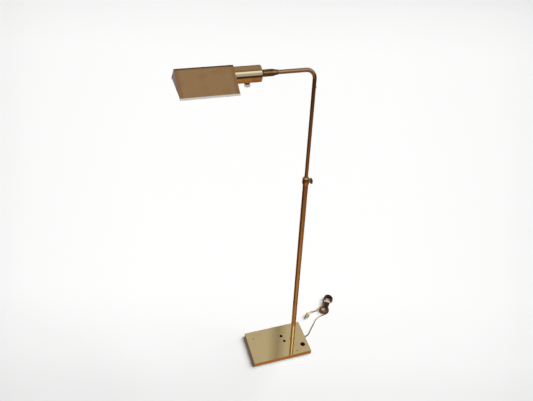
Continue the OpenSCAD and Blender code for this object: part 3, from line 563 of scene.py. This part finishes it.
housing_low, housing_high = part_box("socket_housing")
housing_from = -housing_high.x
housing_to = -housing_low.x
housing_r = housing_high.y
HOUSING_WALL = 0.0008
CUP_ROUND = 0.0025
round_mid = (housing_from + CUP_ROUND, housing_r - CUP_ROUND)
housing = turned("socket_cup", [
    (housing_from, SPINDLE_HOLE_R), *arc(round_mid, CUP_ROUND, 180, 90, 6),
    (housing_to, housing_r), (housing_to, housing_r - HOUSING_WALL),
    *arc(round_mid, CUP_ROUND - HOUSING_WALL, 90, 180, 6),
    (housing_from + HOUSING_WALL, SPINDLE_HOLE_R)], sides=128, hollow=True)
settle(housing, TO_SHADE, arm_axis)
switch_low, switch_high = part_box("switch_bushing")
switch_x = (switch_low.x + switch_high.x) / 2
DOWN = lay(0, 0, -1)
SWITCH_HOLE_D = 0.0101
SWITCH_HOLE_FROM = 0.015
SWITCH_HOLE_LEN = 0.02
drill(housing, SWITCH_HOLE_D, (switch_x, 0, arm_z - SWITCH_HOLE_FROM), SWITCH_HOLE_LEN, DOWN)
soften(housing, width=0.00025)
housing_brass = brass_finish("housing_brass", ROUND_X, size=22.0, sharp=0.045, soft=0.12,
                             share=0.54)
finished(housing, "head", "brass", housing_brass, "socket_housing")
housing_brass.dress(nodes["lampholder_shell"], nodes["lampholder_contact"], nodes["bulb_cap"],
                    nodes["switch_bushing"])

# Lampholder
# Glazed porcelain, with the screw shell in its neck and the switch in its body.
GLAZE = (0.82, 0.79, 0.72)
CRACK = (0.45, 0.38, 0.28)
porcelain = Finish("porcelain", GLAZE, roughness=0.16, Coat_Weight=0.5, Coat_Roughness=0.06)
crazing = porcelain.add("TexVoronoi", {"feature": "DISTANCE_TO_EDGE"},
                        Vector=porcelain.place(), Scale=260.0)
cracked = porcelain.span(crazing.outputs["Distance"], high=0.02, first=0.35, last=0.0)
porcelain.look(Base_Color=porcelain.mix(cracked, GLAZE, CRACK))
porcelain.dress(nodes["lampholder"])


# Switch knob
# Cream plastic, moulded with fine ribs, gone yellow in patches, pressed on the switch's shaft.
def aged_plastic(name, clean, yellowed):
    """Moulded plastic that has yellowed in patches."""
    plastic = Finish(name, clean, roughness=0.35, Coat_Weight=0.25, Coat_Roughness=0.2)
    patches = plastic.noise(scale=140.0, detail=4.0)
    plastic.look(Base_Color=ramp(plastic, patches, (0.3, clean), (1, yellowed)),
                 Normal=plastic.bump(patches, strength=0.06, distance=0.0003))
    return plastic


knob_low, knob_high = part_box("switch_knob")
KNOB_H = 0.009
KNOB_CHAMFER = 0.0008
SHAFT_R = 0.0025
KNOB_RIM = 0.002
KNOB_FLOOR = 0.0026
KNOB_DISH_DEPTH = 0.0004
KNOB_RIB_H = 0.0012
knob_r = (knob_high.x - knob_low.x) / 2
knob_end = arm_z - knob_low.z
knob_from = knob_end - KNOB_H
knob_dish = knob_end - KNOB_DISH_DEPTH
knob = knurled("knob", [
    (arm_z - knob_high.z, SHAFT_R), (knob_from, SHAFT_R), (knob_from, knob_r - KNOB_CHAMFER),
    (knob_from + KNOB_CHAMFER, knob_r), (knob_end - KNOB_CHAMFER, knob_r),
    (knob_end, knob_r - KNOB_CHAMFER), (knob_end, knob_r - KNOB_RIM),
    (knob_dish, knob_r - KNOB_FLOOR), (knob_dish, CLOSING_R)],
    ribs=18, depth=KNURL, rim=knob_r - KNOB_RIB_H)
settle(knob, DOWN, (switch_x, 0, arm_z))
soften(knob, width=0.0002, angle=40)
cream = aged_plastic("cream_plastic", (0.96, 0.93, 0.85), (0.86, 0.79, 0.66))
finished(knob, "knob", "knob_cream", cream, "switch_knob")

# Shade
# Brass sheet folded along the ridge into two panels, each with its lower edge turned down as a
# lip. Satin outside, and enamelled white inside. A gable is soldered in near each end.
shade_low, shade_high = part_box("shade_canopy")
shade_mid_x = (shade_low.x + shade_high.x) / 2
shade_len = shade_high.x - shade_low.x
RIDGE_R = 0.008
SHEET = 0.001
LIP = 0.0055
LIP_SLOPE = math.radians(65)
corner_y = shade_high.y - LIP * math.cos(LIP_SLOPE)
corner_z = shade_low.z + LIP * math.sin(LIP_SLOPE) + SHEET * math.cos(LIP_SLOPE)
fold_z = shade_high.z - RIDGE_R
rise = fold_z - corner_z
fold_turn = math.degrees(math.acos(RIDGE_R / math.hypot(corner_y, rise))
                         - math.atan2(rise, corner_y))


def fold_arc(radius):
    """The fold's round, from the near panel over the ridge to the far one."""
    return arc((0, fold_z), radius, 180 - fold_turn, fold_turn, 14)


PANEL_STEPS = 5
SHEET_STEPS = 4
ridge = [Vector(point) for point in fold_arc(RIDGE_R)]
near_corner = Vector((-corner_y, corner_z))
far_corner = Vector((corner_y, corner_z))
lip_drop = Vector((LIP * math.cos(LIP_SLOPE), -LIP * math.sin(LIP_SLOPE)))
outline = [near_corner + Vector((-lip_drop.x, lip_drop.y))]
outline += [near_corner.lerp(ridge[0], i / PANEL_STEPS) for i in range(PANEL_STEPS)]
outline += ridge
outline += [ridge[-1].lerp(far_corner, i / PANEL_STEPS) for i in range(1, PANEL_STEPS + 1)]
outline.append(far_corner + lip_drop)
strips = len(outline) - 1
bpy.ops.mesh.primitive_grid_add(size=1, x_subdivisions=SHEET_STEPS, y_subdivisions=strips)
shade = bpy.context.object
shade.name = "shade_sheet"
for vertex in shade.data.vertices:
    across = outline[round((vertex.co.y + 0.5) * strips)]
    vertex.co = (shade_mid_x + vertex.co.x * shade_len, across.x, across.y)

shade_brass = brass_finish("shade_brass", ALONG_X, size=24.0, sharp=0.24, soft=0.34,
                           clean=(0.93, 0.77, 0.46), dull=(0.80, 0.63, 0.34), wobble=0.02)
# Painted reflections and a painted highlight: the ends are painted redder for the sheet's bend
# near the gables, the fold is painted dark for the dark room that it reflects, and the lips are
# painted pale.
PAINTED_END_REFLECTION = (0.74, 0.50, 0.30)
ends_from = shade_len / 2 - 0.014
ends_to = shade_len / 2 - 0.008
PAINTED_FOLD_REFLECTION = (0.22, 0.12, 0.055)
fold_from = shade_high.z - 0.0030
fold_to = shade_high.z - 0.0008
PAINTED_LIP_HIGHLIGHT = (1.0, 0.94, 0.80)
LIP_BLEND = 0.0005
height = metres_along(shade_brass, "Z")
from_middle = shade_brass.calculate("SUBTRACT", metres_along(shade_brass, "X"), shade_mid_x)
from_middle = shade_brass.calculate("ABSOLUTE", from_middle)
# Where the painted reflections at the ends and the fold, and the painted highlight on the lips,
# lie
ends = shade_brass.span(from_middle, ends_from, ends_to, last=0.6)
fold = shade_brass.span(height, fold_from, fold_to, last=0.85)
lips = shade_brass.span(height, corner_z + LIP_BLEND, corner_z - LIP_BLEND)
tone = shade_brass.colour
for share, colour in ((ends, PAINTED_END_REFLECTION), (fold, PAINTED_FOLD_REFLECTION), (lips, PAINTED_LIP_HIGHLIGHT)):
    tone = shade_brass.mix(share, tone, colour)
shade_brass.look(Base_Color=tone)

enamel = Finish("white_enamel", (0.82, 0.80, 0.74), roughness=0.42, Coat_Weight=0.2,
                Coat_Roughness=0.3)
warmth = enamel.noise(scale=30.0, detail=3.0)
peel = enamel.noise(scale=110.0, detail=1.0)
enamel.look(Base_Color=ramp(enamel, warmth, (0, (0.84, 0.82, 0.77)), (1, (0.74, 0.69, 0.58))),
            Normal=enamel.bump(peel, strength=0.04, distance=0.0003))


def two_sided(piece, node_name):
    """Finishes a piece of the shade in brass, and gives it enamel for its inner faces."""
    finished(piece, "head", "shade_brass", shade_brass, node_name)
    piece.data.materials.append(enamel.material)


two_sided(shade, "shade_canopy")
apply_modifier(shade, "SOLIDIFY", thickness=SHEET, offset=-1, use_even_offset=True,
               material_offset=1)
smooth(shade, angle=24)


# Gables
# Flat plates cut to the fold, soldered between the panels. The inner one is bored for the cup.
def drawn_out(name, points, low, high, closed=True):
    """A plate or an open band, from its outline across X, drawn out along X."""
    bpy.ops.mesh.primitive_circle_add(vertices=len(points),
                                      fill_type="NGON" if closed else "NOTHING")
    piece = bpy.context.object
    piece.name = name
    for vertex, (y, z) in zip(piece.data.vertices, points):
        vertex.co = (low, y, z)
    bpy.ops.object.mode_set(mode="EDIT")
    bpy.ops.mesh.select_all(action="SELECT")
    bpy.ops.mesh.extrude_region_move(TRANSFORM_OT_translate={"value": (high - low, 0, 0)})
    if closed:
        bpy.ops.mesh.select_all(action="DESELECT")
        bpy.ops.mesh.select_non_manifold()
        bpy.ops.mesh.fill_holes(sides=0)
    bpy.ops.mesh.select_all(action="SELECT")
    bpy.ops.mesh.normals_make_consistent(inside=False)
    bpy.ops.object.mode_set(mode="OBJECT")
    return piece


GABLE_GAP = 0.00004
CUP_GAP = 0.0001
GABLE_CUT = 0.004
crown = fold_arc(RIDGE_R - SHEET - GABLE_GAP)
for plate_name, node_name, inward in (("outer_gable", "shade_end_outer", 1),
                                      ("inner_gable", "shade_end_inner", -1)):
    low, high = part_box(node_name)
    gable = drawn_out(plate_name, crown + [(high.y, low.z), (-high.y, low.z)], low.x, high.x)
    if inward < 0:
        drill(gable, 2 * housing_r + CUP_GAP, (low.x - CUT, 0, arm_z), GABLE_CUT, TO_RIGHT,
              sides=96)
    soften(gable, width=0.00015, segments=1)
    two_sided(gable, node_name)
    # Enamel on its inner face
    for polygon in gable.data.polygons:
        polygon.material_index = int(polygon.normal.x * inward > 0.9)

# Bulb
# A frosted tubular bulb: blown glass drawn down to its neck, cemented in a brass screw cap.
glass_low, glass_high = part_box("bulb_glass")
glass_from = -glass_high.x
glass_to = -glass_low.x
bulb_r = glass_high.y
CAP_R = 0.01285
NECK_LEN = 0.021
bulb = turned("bulb", [
    (glass_from, CAP_R - 0.0006), (glass_from + 0.004, CAP_R + 0.0001),
    (glass_from + 0.008, CAP_R + 0.0007), (glass_from + 0.014, bulb_r - 0.0009),
    (glass_from + NECK_LEN, bulb_r), *arc((glass_to - bulb_r, 0), bulb_r, 90, 6, 12)])
settle(bulb, TO_SHADE, arm_axis)
smooth(bulb, angle=60)
frost = Finish("frosted_glass", (0.93, 0.90, 0.84), roughness=0.55, Transmission_Weight=0.55,
               IOR=1.45)
grains = frost.noise(scale=2200.0, detail=2.0)
frost.look(Normal=frost.bump(grains, strength=0.15, distance=0.0001))
finished(bulb, "head", "frosted_glass", frost, "bulb_glass")

# Lead and strain relief
# Dark amber-brown vinyl flex. It leaves the plate through a black rubber relief.
vinyl = Finish("brown_vinyl", (0.105, 0.038, 0.012), roughness=0.26, Coat_Weight=0.55,
               Coat_Roughness=0.12)
amber = ramp(vinyl, vinyl.noise(scale=55.0, detail=3.0), (0.35, (0.060, 0.020, 0.007)),
             (0.7, (0.13, 0.052, 0.015)))
# Painted light: near the plug, the tail is painted a lighter amber where it lies lit on the floor.
PAINTED_TAIL_LIGHT = (0.50, 0.25, 0.095)
TAIL_AT = (0.135, 0.135, 0.010)
TAIL_REACH = 0.085
tail = vinyl.span(near(vinyl, TAIL_AT, TAIL_REACH), high=0.4)
scuffs = vinyl.noise(scale=700.0, detail=2.0)
vinyl.look(Base_Color=vinyl.mix(tail, amber, PAINTED_TAIL_LIGHT),
           Roughness=vinyl.span(scuffs, first=0.18, last=0.36),
           Normal=vinyl.bump(scuffs, strength=0.05, distance=0.0003))
vinyl.dress(nodes["post_lead"], nodes["arm_lead"])
rubber = Finish("black_rubber", (0.022, 0.018, 0.015), roughness=0.6)
bloom = rubber.noise(scale=500.0, detail=4.0)
rubber.look(Roughness=rubber.span(bloom, first=0.45, last=0.8),
            Normal=rubber.bump(bloom, strength=0.15, distance=0.0003))
rubber.dress(nodes["cord_grommet"])

# Cord
# 1.8 m of flex. From the relief it runs along the floor to a hank, put away for storage: loops
# that spiral in and out again in four layers, drawn in at the waist. The tail ends in the plug.
MM = 0.001
CORD_D = 4.2
CORD_R = CORD_D / 2
LEAD_ROUTE = [
    (64, 6.7, 4.5), (70, 7.3, 4.5), (76, 9.2, 4), (82, 13.2, 3.1), (88, 19, 2.3), (95, 26.5, 2.1),
    (103, 36, 2.1), (112, 46, 2.1), (122, 56.5, 2.1), (132, 67.5, 2.1), (142, 78.5, 2.1),
    (153, 88.5, 2.1), (165, 96, 2.1), (177, 100.3, 2.1), (189, 102.2, 2.1), (200, 104.2, 2.1)]
TAIL_ROUTE = [
    (200, 145.3, 16.7), (194, 142.6, 15.4), (188.5, 140.3, 13.2), (183, 138.4, 10.6),
    (177.3, 137, 8), (171.3, 136, 5.8), (165.3, 135.3, 4.4), (159.2, 134.8, 4),
    (153.2, 134.3, 4.6), (147.4, 133.5, 6.1), (142, 132.1, 7.9), (137, 129.8, 9.5)]
PLUG_AT = (132.5, 126.8, 10.7)
HANK_CENTRE = (231, 158)
HANK_ANGLE = math.radians(51.7)
LOBE_R = 21
LOBE_REACH = 37
TURN_PITCH = CORD_D + 0.8
LAYER_PITCH = CORD_D + 0.55
LAYER_TURNS = 1.5
LAYERS = 4
POINTS_PER_TURN = 24
FIRST_POINT = -4
LAST_POINT = 133
TIE_LIFT = 1.8
LIFT_REACH = 26
waist_half = (LAYER_TURNS + 0.25) * TURN_PITCH
waist_r = (LOBE_REACH ** 2 + waist_half ** 2 - LOBE_R ** 2) / (2 * (LOBE_R - waist_half))
waist_angle = math.atan2(LOBE_REACH, waist_half + waist_r)
lobe_angle = math.pi + 2 * waist_angle
turn_angle = 2 * (lobe_angle + 2 * waist_angle)


def turn_offset(turn):
    """Distance of a turn inside the outermost one: it grows and shrinks at a steady rate."""
    part = turn if turn < 0 else turn % (2 * LAYER_TURNS)
    return TURN_PITCH * (LAYER_TURNS - abs(part - LAYER_TURNS))


def smooth_step(x):
    u = min(1, max(0, x))
    return u * u * (3 - 2 * u)


def turn_layer(turn):
    """Height in layers: each climb takes the half turn round a reversal."""
    return sum(smooth_step(2 * (turn - k * LAYER_TURNS) + 0.5) for k in range(1, LAYERS))


def turn_place(angle, offset):
    """Place along and across the hank, by the angle that its outline has turned through."""
    far = waist_half + waist_r
    bow = waist_r + offset
    end = LOBE_R - offset
    if angle < waist_angle:
        return bow * math.sin(angle), bow * math.cos(angle) - far
    if angle < waist_angle + lobe_angle:
        b = angle - waist_angle - lobe_angle / 2
        return LOBE_REACH + end * math.cos(b), end * math.sin(b)
    if angle < 3 * waist_angle + lobe_angle:
        b = 2 * waist_angle + lobe_angle - angle
        return bow * math.sin(b), far - bow * math.cos(b)
    if angle < 3 * waist_angle + 2 * lobe_angle:
        b = angle - 3 * waist_angle - 1.5 * lobe_angle
        return -LOBE_REACH - end * math.cos(b), -end * math.sin(b)
    b = angle - turn_angle
    return bow * math.sin(b), bow * math.cos(b) - far


def hank_point(turn):
    along, across = turn_place((turn % 1) * turn_angle, turn_offset(turn))
    cos, sin = math.cos(HANK_ANGLE), math.sin(HANK_ANGLE)
    lift = TIE_LIFT * math.exp(-(along / LIFT_REACH) ** 2)
    return (HANK_CENTRE[0] + along * cos - across * sin,
            HANK_CENTRE[1] + along * sin + across * cos,
            CORD_R + turn_layer(turn) * LAYER_PITCH + lift)


def past_end(point, nearby):
    """A point one diameter past the end of the hank, in line with it."""
    return Vector(point) + CORD_D * (Vector(point) - Vector(nearby)).normalized()


hank = [hank_point(i / POINTS_PER_TURN) for i in range(FIRST_POINT, LAST_POINT + 1)]
CLOSE = 0.001
hank_start = past_end(hank[0], hank_point(FIRST_POINT / POINTS_PER_TURN + CLOSE))
hank_end = past_end(hank[-1], hank_point(LAST_POINT / POINTS_PER_TURN - CLOSE))
route = LEAD_ROUTE + [hank_start] + hank + [hank_end] + TAIL_ROUTE + [PLUG_AT]
route = [Vector(point) * MM for point in route]
curve = bpy.data.curves.new("cord", "CURVE")
curve.dimensions = "3D"
curve.bevel_depth = 1
curve.bevel_resolution = 5
curve.resolution_u = 4
curve.use_fill_caps = True
spline = curve.splines.new("BEZIER")
spline.bezier_points.add(len(route) - 1)
# Each point carries the cord's radius.
for point, place in zip(spline.bezier_points, route):
    point.co = place
    point.radius = CORD_R * MM
    point.handle_left_type = point.handle_right_type = "AUTO"
cord = bpy.data.objects.new("cord", curve)
bpy.context.collection.objects.link(cord)
finished(cord, "stand", "cord_brown", vinyl, "cord_lead", "cord_hank", "cord_tail")

# Tie
# A band of buff paper tape round the hank's waist, its ends stuck together below.
tie_low, tie_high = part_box("cord_tie")
TIE_W = 0.012
TIE_SHIFT = 0.007
TIE_T = 0.0008
TIE_ROUND = 0.0032
tie_half = (tie_high.x - tie_low.x - TIE_W * math.cos(HANK_ANGLE)) / math.sin(HANK_ANGLE) / 2
corners = []
for side_y, side_z, start in ((1, 1, 0), (-1, 1, 90), (-1, -1, 180), (1, -1, 270)):
    centre = (side_y * (tie_half - TIE_ROUND),
              (tie_high.z if side_z > 0 else tie_low.z) - side_z * TIE_ROUND)
    corners += arc(centre, TIE_ROUND, start, start + 90, 6)
tie = drawn_out("tie", corners, TIE_SHIFT - TIE_W / 2, TIE_SHIFT + TIE_W / 2, closed=False)
apply_modifier(tie, "SOLIDIFY", thickness=TIE_T, offset=-1)
settle(tie, Matrix.Rotation(HANK_ANGLE, 3, "Z"), (HANK_CENTRE[0] * MM, HANK_CENTRE[1] * MM, 0))
soften(tie, width=0.0002)
paper = Finish("buff_paper", (0.56, 0.44, 0.31), roughness=0.7, Sheen_Weight=0.15)
fibre = paper.noise(scale=1.0, detail=5.0, vector=paper.place(stretch=(300, 300, 1400)))
crease = paper.noise(scale=160.0, detail=3.0)
paper.look(Base_Color=ramp(paper, fibre, (0, (0.46, 0.35, 0.24)), (1, (0.66, 0.54, 0.40))),
           Normal=paper.bump(crease, strength=0.35, distance=0.0006))
finished(tie, "stand", "tie_paper", paper, "cord_tie")

# Plug
# Moulded cream plug on the cord's end: a ribbed neck, a waisted grip and two flat blades.
PLUG_HEADING = math.radians(218)
PLUG_ROLL = math.radians(65)
PLUG_R = 0.0105
GRIP_R = 0.009
PLUG_LEN = 0.019
FLANGE_T = 0.004
flange_z = PLUG_LEN - FLANGE_T
plug_turn = (Matrix.Rotation(PLUG_HEADING, 3, "Z") @ Matrix.Rotation(math.pi / 2, 3, "Y")
             @ Matrix.Rotation(PLUG_ROLL, 3, "Z"))
plug_place = Vector(PLUG_AT) * MM
neck = [(0.0, 0.0036), (0.0004, 0.0042), (0.0011, 0.0042), (0.0014, 0.0036), (0.0020, 0.0036),
        (0.0023, 0.0046), (0.0030, 0.0046), (0.0033, 0.0039), (0.0040, 0.0039), (0.0043, 0.0050)]
grip = [(0.0052, 0.0056), (0.0074, 0.0082), (0.0092, GRIP_R), (0.0104, GRIP_R - 0.0004),
        (0.0118, GRIP_R)]
flange = [(flange_z, PLUG_R - 0.0005), (flange_z + 0.0012, PLUG_R), (PLUG_LEN - 0.0009, PLUG_R),
          (PLUG_LEN - 0.0002, PLUG_R - 0.0006), (PLUG_LEN, PLUG_R - 0.0013)]
plug = turned("plug", neck + grip + flange)
settle(plug, plug_turn, plug_place)
smooth(plug, angle=40)
ivory = aged_plastic("ivory_plastic", (0.90, 0.70, 0.44), (0.74, 0.50, 0.27))
finished(plug, "stand", "plug_cream", ivory, "plug_body")

BLADE = Vector((0.00635, 0.0015, 0.021))
BLADE_ROOT = 0.005
BLADE_GAP = 0.0127
BLADE_HOLE_D = 0.0033
BLADE_HOLE_UP = 0.012
middle = Vector((0, -BLADE_GAP / 2, PLUG_LEN - BLADE_ROOT + BLADE.z / 2))
blades = block("blades", middle - BLADE / 2, middle + BLADE / 2)
drill(blades, BLADE_HOLE_D, (0, middle.y - BLADE.y, PLUG_LEN + BLADE_HOLE_UP), 2 * BLADE.y,
      lay(0, 1, 0), sides=24)
soften(blades, width=0.0003)
second = blades.copy()
second.data = blades.data.copy()
bpy.context.collection.objects.link(second)
settle(second, place=(0, BLADE_GAP, 0))
pick(blades)
second.select_set(True)
bpy.ops.object.join()
settle(blades, plug_turn, plug_place)
blade_brass = Finish("blade_brass", (0.72, 0.62, 0.44), roughness=0.45, metallic=0.45)
handled = blade_brass.noise(scale=300.0, detail=3.0)
blade_brass.look(Roughness=blade_brass.span(handled, first=0.35, last=0.6))
finished(blades, "stand", "blade_brass", blade_brass, "plug_blades")


# Room
# A pale floor under soft light from the right. Gloss doesn't see that floor, but the room round
# the lamp: boards below, a window high behind the camera, a brown ceiling, and cards as walls.
def grey(tone):
    return (tone, tone, tone)


VIEW_TURN = math.radians(17.92)
FLOOR_SIDE = 30
bpy.ops.mesh.primitive_plane_add(size=FLOOR_SIDE)
floor = bpy.context.object
floor.name = "floor"
floor.visible_glossy = False
pale_floor = Finish("floor", grey(0.97), roughness=0.9)
# Painted shade: the floor's tone by the distance in metres past the lamp, away from the camera
PAINTED_SHADE_AWAY = ((-4.0, 0.985), (-1.5, 0.92), (-0.5, 0.83), (-0.26, 0.88), (-0.08, 0.94), (0.3, 0.985),
            (4.2, 0.985), (6.6, 0.93), (8.2, 0.86))
view_turn = (0, 0, VIEW_TURN)
away = metres_along(pale_floor, "Y", view_turn)
distance_shade = ramp(pale_floor, away, *[(distance, grey(tone)) for distance, tone in PAINTED_SHADE_AWAY])
# Painted shade: the floor is painted darker to both sides of what the camera sees, a strip that
# widens away from it.
STRIP_MIDDLE = -0.133
STRIP_HALF = 1.19
STRIP_LEAST = 0.89
STRIP_GROWTH = 0.47
OUT_OF_SIGHT = -2.2
IN_SIGHT = -0.4
PAINTED_SHADE_ASIDE = ((0.45, 1.0), (0.77, 0.98), (0.9, 0.96), (1, 0.93))
aside = metres_along(pale_floor, "X", view_turn)
aside = pale_floor.calculate("SUBTRACT", aside, STRIP_MIDDLE)
aside = pale_floor.calculate("ABSOLUTE", aside)
half_strip = pale_floor.calculate("MULTIPLY_ADD", away, STRIP_GROWTH, STRIP_HALF)
half_strip = pale_floor.calculate("MAXIMUM", half_strip, STRIP_LEAST)
in_sight = pale_floor.span(away, OUT_OF_SIGHT, IN_SIGHT, kind="SMOOTHSTEP")
outward = pale_floor.calculate("MULTIPLY", pale_floor.span(aside, high=half_strip), in_sight)
sides = ramp(pale_floor, outward, *[(share, grey(tone)) for share, tone in PAINTED_SHADE_ASIDE])
pale_floor.look(Base_Color=pale_floor.mix(1.0, distance_shade, sides, "MULTIPLY"))
pale_floor.dress(floor)


def reflector(name, low, high, *tones):
    """An upright card that only shows in gloss, with its tones along X."""
    bpy.ops.mesh.primitive_plane_add(size=1)
    card = bpy.context.object
    card.name = name
    size = Vector(high) - Vector(low)
    settle(card, Matrix.Rotation(math.pi / 2, 3, "X") @ Matrix.Diagonal((size.x, size.z, 1)),
           (Vector(low) + Vector(high)) / 2)
    for ray in ("camera", "diffuse", "transmission", "volume_scatter", "shadow"):
        setattr(card, "visible_" + ray, False)
    glow = Finish(name, grey(0), roughness=1.0)
    light = glow.add("Emission", Color=ramp(glow, metres_along(glow, "X"), *tones))
    glow.set(glow.tree.nodes["Material Output"], Surface=light.outputs[0])
    glow.dress(card)


WALL = (0.50, 0.475, 0.44)
GAP = (0.30, 0.275, 0.235)
FAR_WALL = (0.29, 0.27, 0.38)
reflector("wall", (-0.35, 0.60, 0.45), (0.75, 0.60, 1.12), (-0.35, WALL), (0.09, WALL),
          (0.1604, GAP), (0.222, WALL), (0.75, WALL))
reflector("far_wall", (-0.68, 0.93, 0.74), (-0.40, 0.93, 1.04), (-0.68, FAR_WALL),
          (-0.40, FAR_WALL))

# Angles from straight up towards the camera's side, in degrees, and what the room shows there
ROOM = (
    (-180, (0.36, 0.17, 0.06)), (-160, (0.30, 0.14, 0.05)), (-125, (0.15, 0.073, 0.022)),
    (-100, (0.07, 0.045, 0.03)), (-80, (0.10, 0.075, 0.06)), (-62, (0.27, 0.21, 0.18)),
    (-36, (0.29, 0.22, 0.19)), (-10, (0.30, 0.22, 0.175)), (2, (0.30, 0.22, 0.175)),
    (14, (0.24, 0.163, 0.11)), (29, (0.23, 0.16, 0.11)), (33.5, (0.30, 0.235, 0.18)),
    (36.5, (0.95, 0.97, 1.0)), (52, (0.95, 0.95, 0.98)), (56, (0.64, 0.65, 0.72)),
    (64, (0.60, 0.61, 0.68)), (69, (0.33, 0.33, 0.40)), (79, (0.40, 0.44, 0.63)),
    (90, (0.40, 0.44, 0.63)), (94, (0.06, 0.045, 0.035)), (109, (0.03, 0.012, 0.006)),
    (117, (0.155, 0.071, 0.041)), (125, (0.22, 0.093, 0.039)), (132, (0.40, 0.185, 0.08)),
    (138, (0.43, 0.21, 0.09)), (160, (0.36, 0.165, 0.055)), (180, (0.36, 0.17, 0.06)))
# Brightness of the wooden floor, from -1 at the lamp's left to 1 at its right
BOARDS = ((-1, 0.10), (-0.74, 0.22), (-0.6, 0.45), (-0.4, 1.0), (-0.1, 1.0), (0.24, 0.92),
          (0.5, 0.62), (1, 0.5))
BOARDS_FROM = -0.05
BOARDS_TO = -0.25
SOFT_LIGHT = 0.11
world = bpy.data.worlds.new("room")
bpy.context.scene.world = world
world.use_nodes = True
world.node_tree.nodes.clear()
room = Recipe(world.node_tree)
ways = room.add("SeparateXYZ", Vector=room.add("TexCoord").outputs["Generated"]).outputs
angle = room.calculate("ARCTAN2", room.calculate("MULTIPLY", ways["Y"], -1.0), ways["Z"])
around = ramp(room, angle, *[(math.radians(degrees), colour) for degrees, colour in ROOM])
boards = ramp(room, ways["X"], *[(side, grey(tone)) for side, tone in BOARDS])
below = room.span(ways["Z"], BOARDS_FROM, BOARDS_TO)
glossy = room.add("Background", Color=room.mix(below, around, boards, "MULTIPLY"))
soft = room.add("Background", Color=(1.0, 0.98, 0.95), Strength=SOFT_LIGHT)
beyond = room.add("Background", Color=grey(0.97))
path = room.add("LightPath").outputs
lit = room.add("MixShader", Fac=path["Is Glossy Ray"], Shader=soft.outputs[0],
               Shader_001=glossy.outputs[0])
seen = room.add("MixShader", Fac=path["Is Camera Ray"], Shader=lit.outputs[0],
                Shader_001=beyond.outputs[0])
room.add("OutputWorld", Surface=seen.outputs[0])

KEY_STRENGTH = 3.9
KEY_WIDTH = math.radians(50)
KEY_FROM = Vector((0.66, 0.08, 0.74))
bpy.ops.object.light_add(type="SUN")
key = bpy.context.object
key.name = "key"
key.data.energy = KEY_STRENGTH
key.data.angle = KEY_WIDTH
key.visible_glossy = False
key.rotation_euler = KEY_FROM.to_track_quat("Z", "Y").to_euler()

# Camera
# Where the photograph was taken from: above the lamp, a little to the left of its base.
CAMERA_PLACE = (-0.5473, -1.2592, 1.6948)
PITCH = math.radians(34.45)
ROLL = math.radians(1.78)
SENSOR_MM = 36
LENS_MM = 31.55
bpy.ops.object.camera_add()
camera = bpy.context.object
camera.data.sensor_width = SENSOR_MM
camera.data.lens = LENS_MM
camera.matrix_world = (
    Matrix.Translation(CAMERA_PLACE) @ Matrix.Rotation(-VIEW_TURN, 4, "Z")
    @ Matrix.Rotation(math.pi / 2 - PITCH, 4, "X") @ Matrix.Rotation(ROLL, 4, "Z"))
scene = bpy.context.scene
scene.camera = camera
scene.view_settings.view_transform = "Standard"
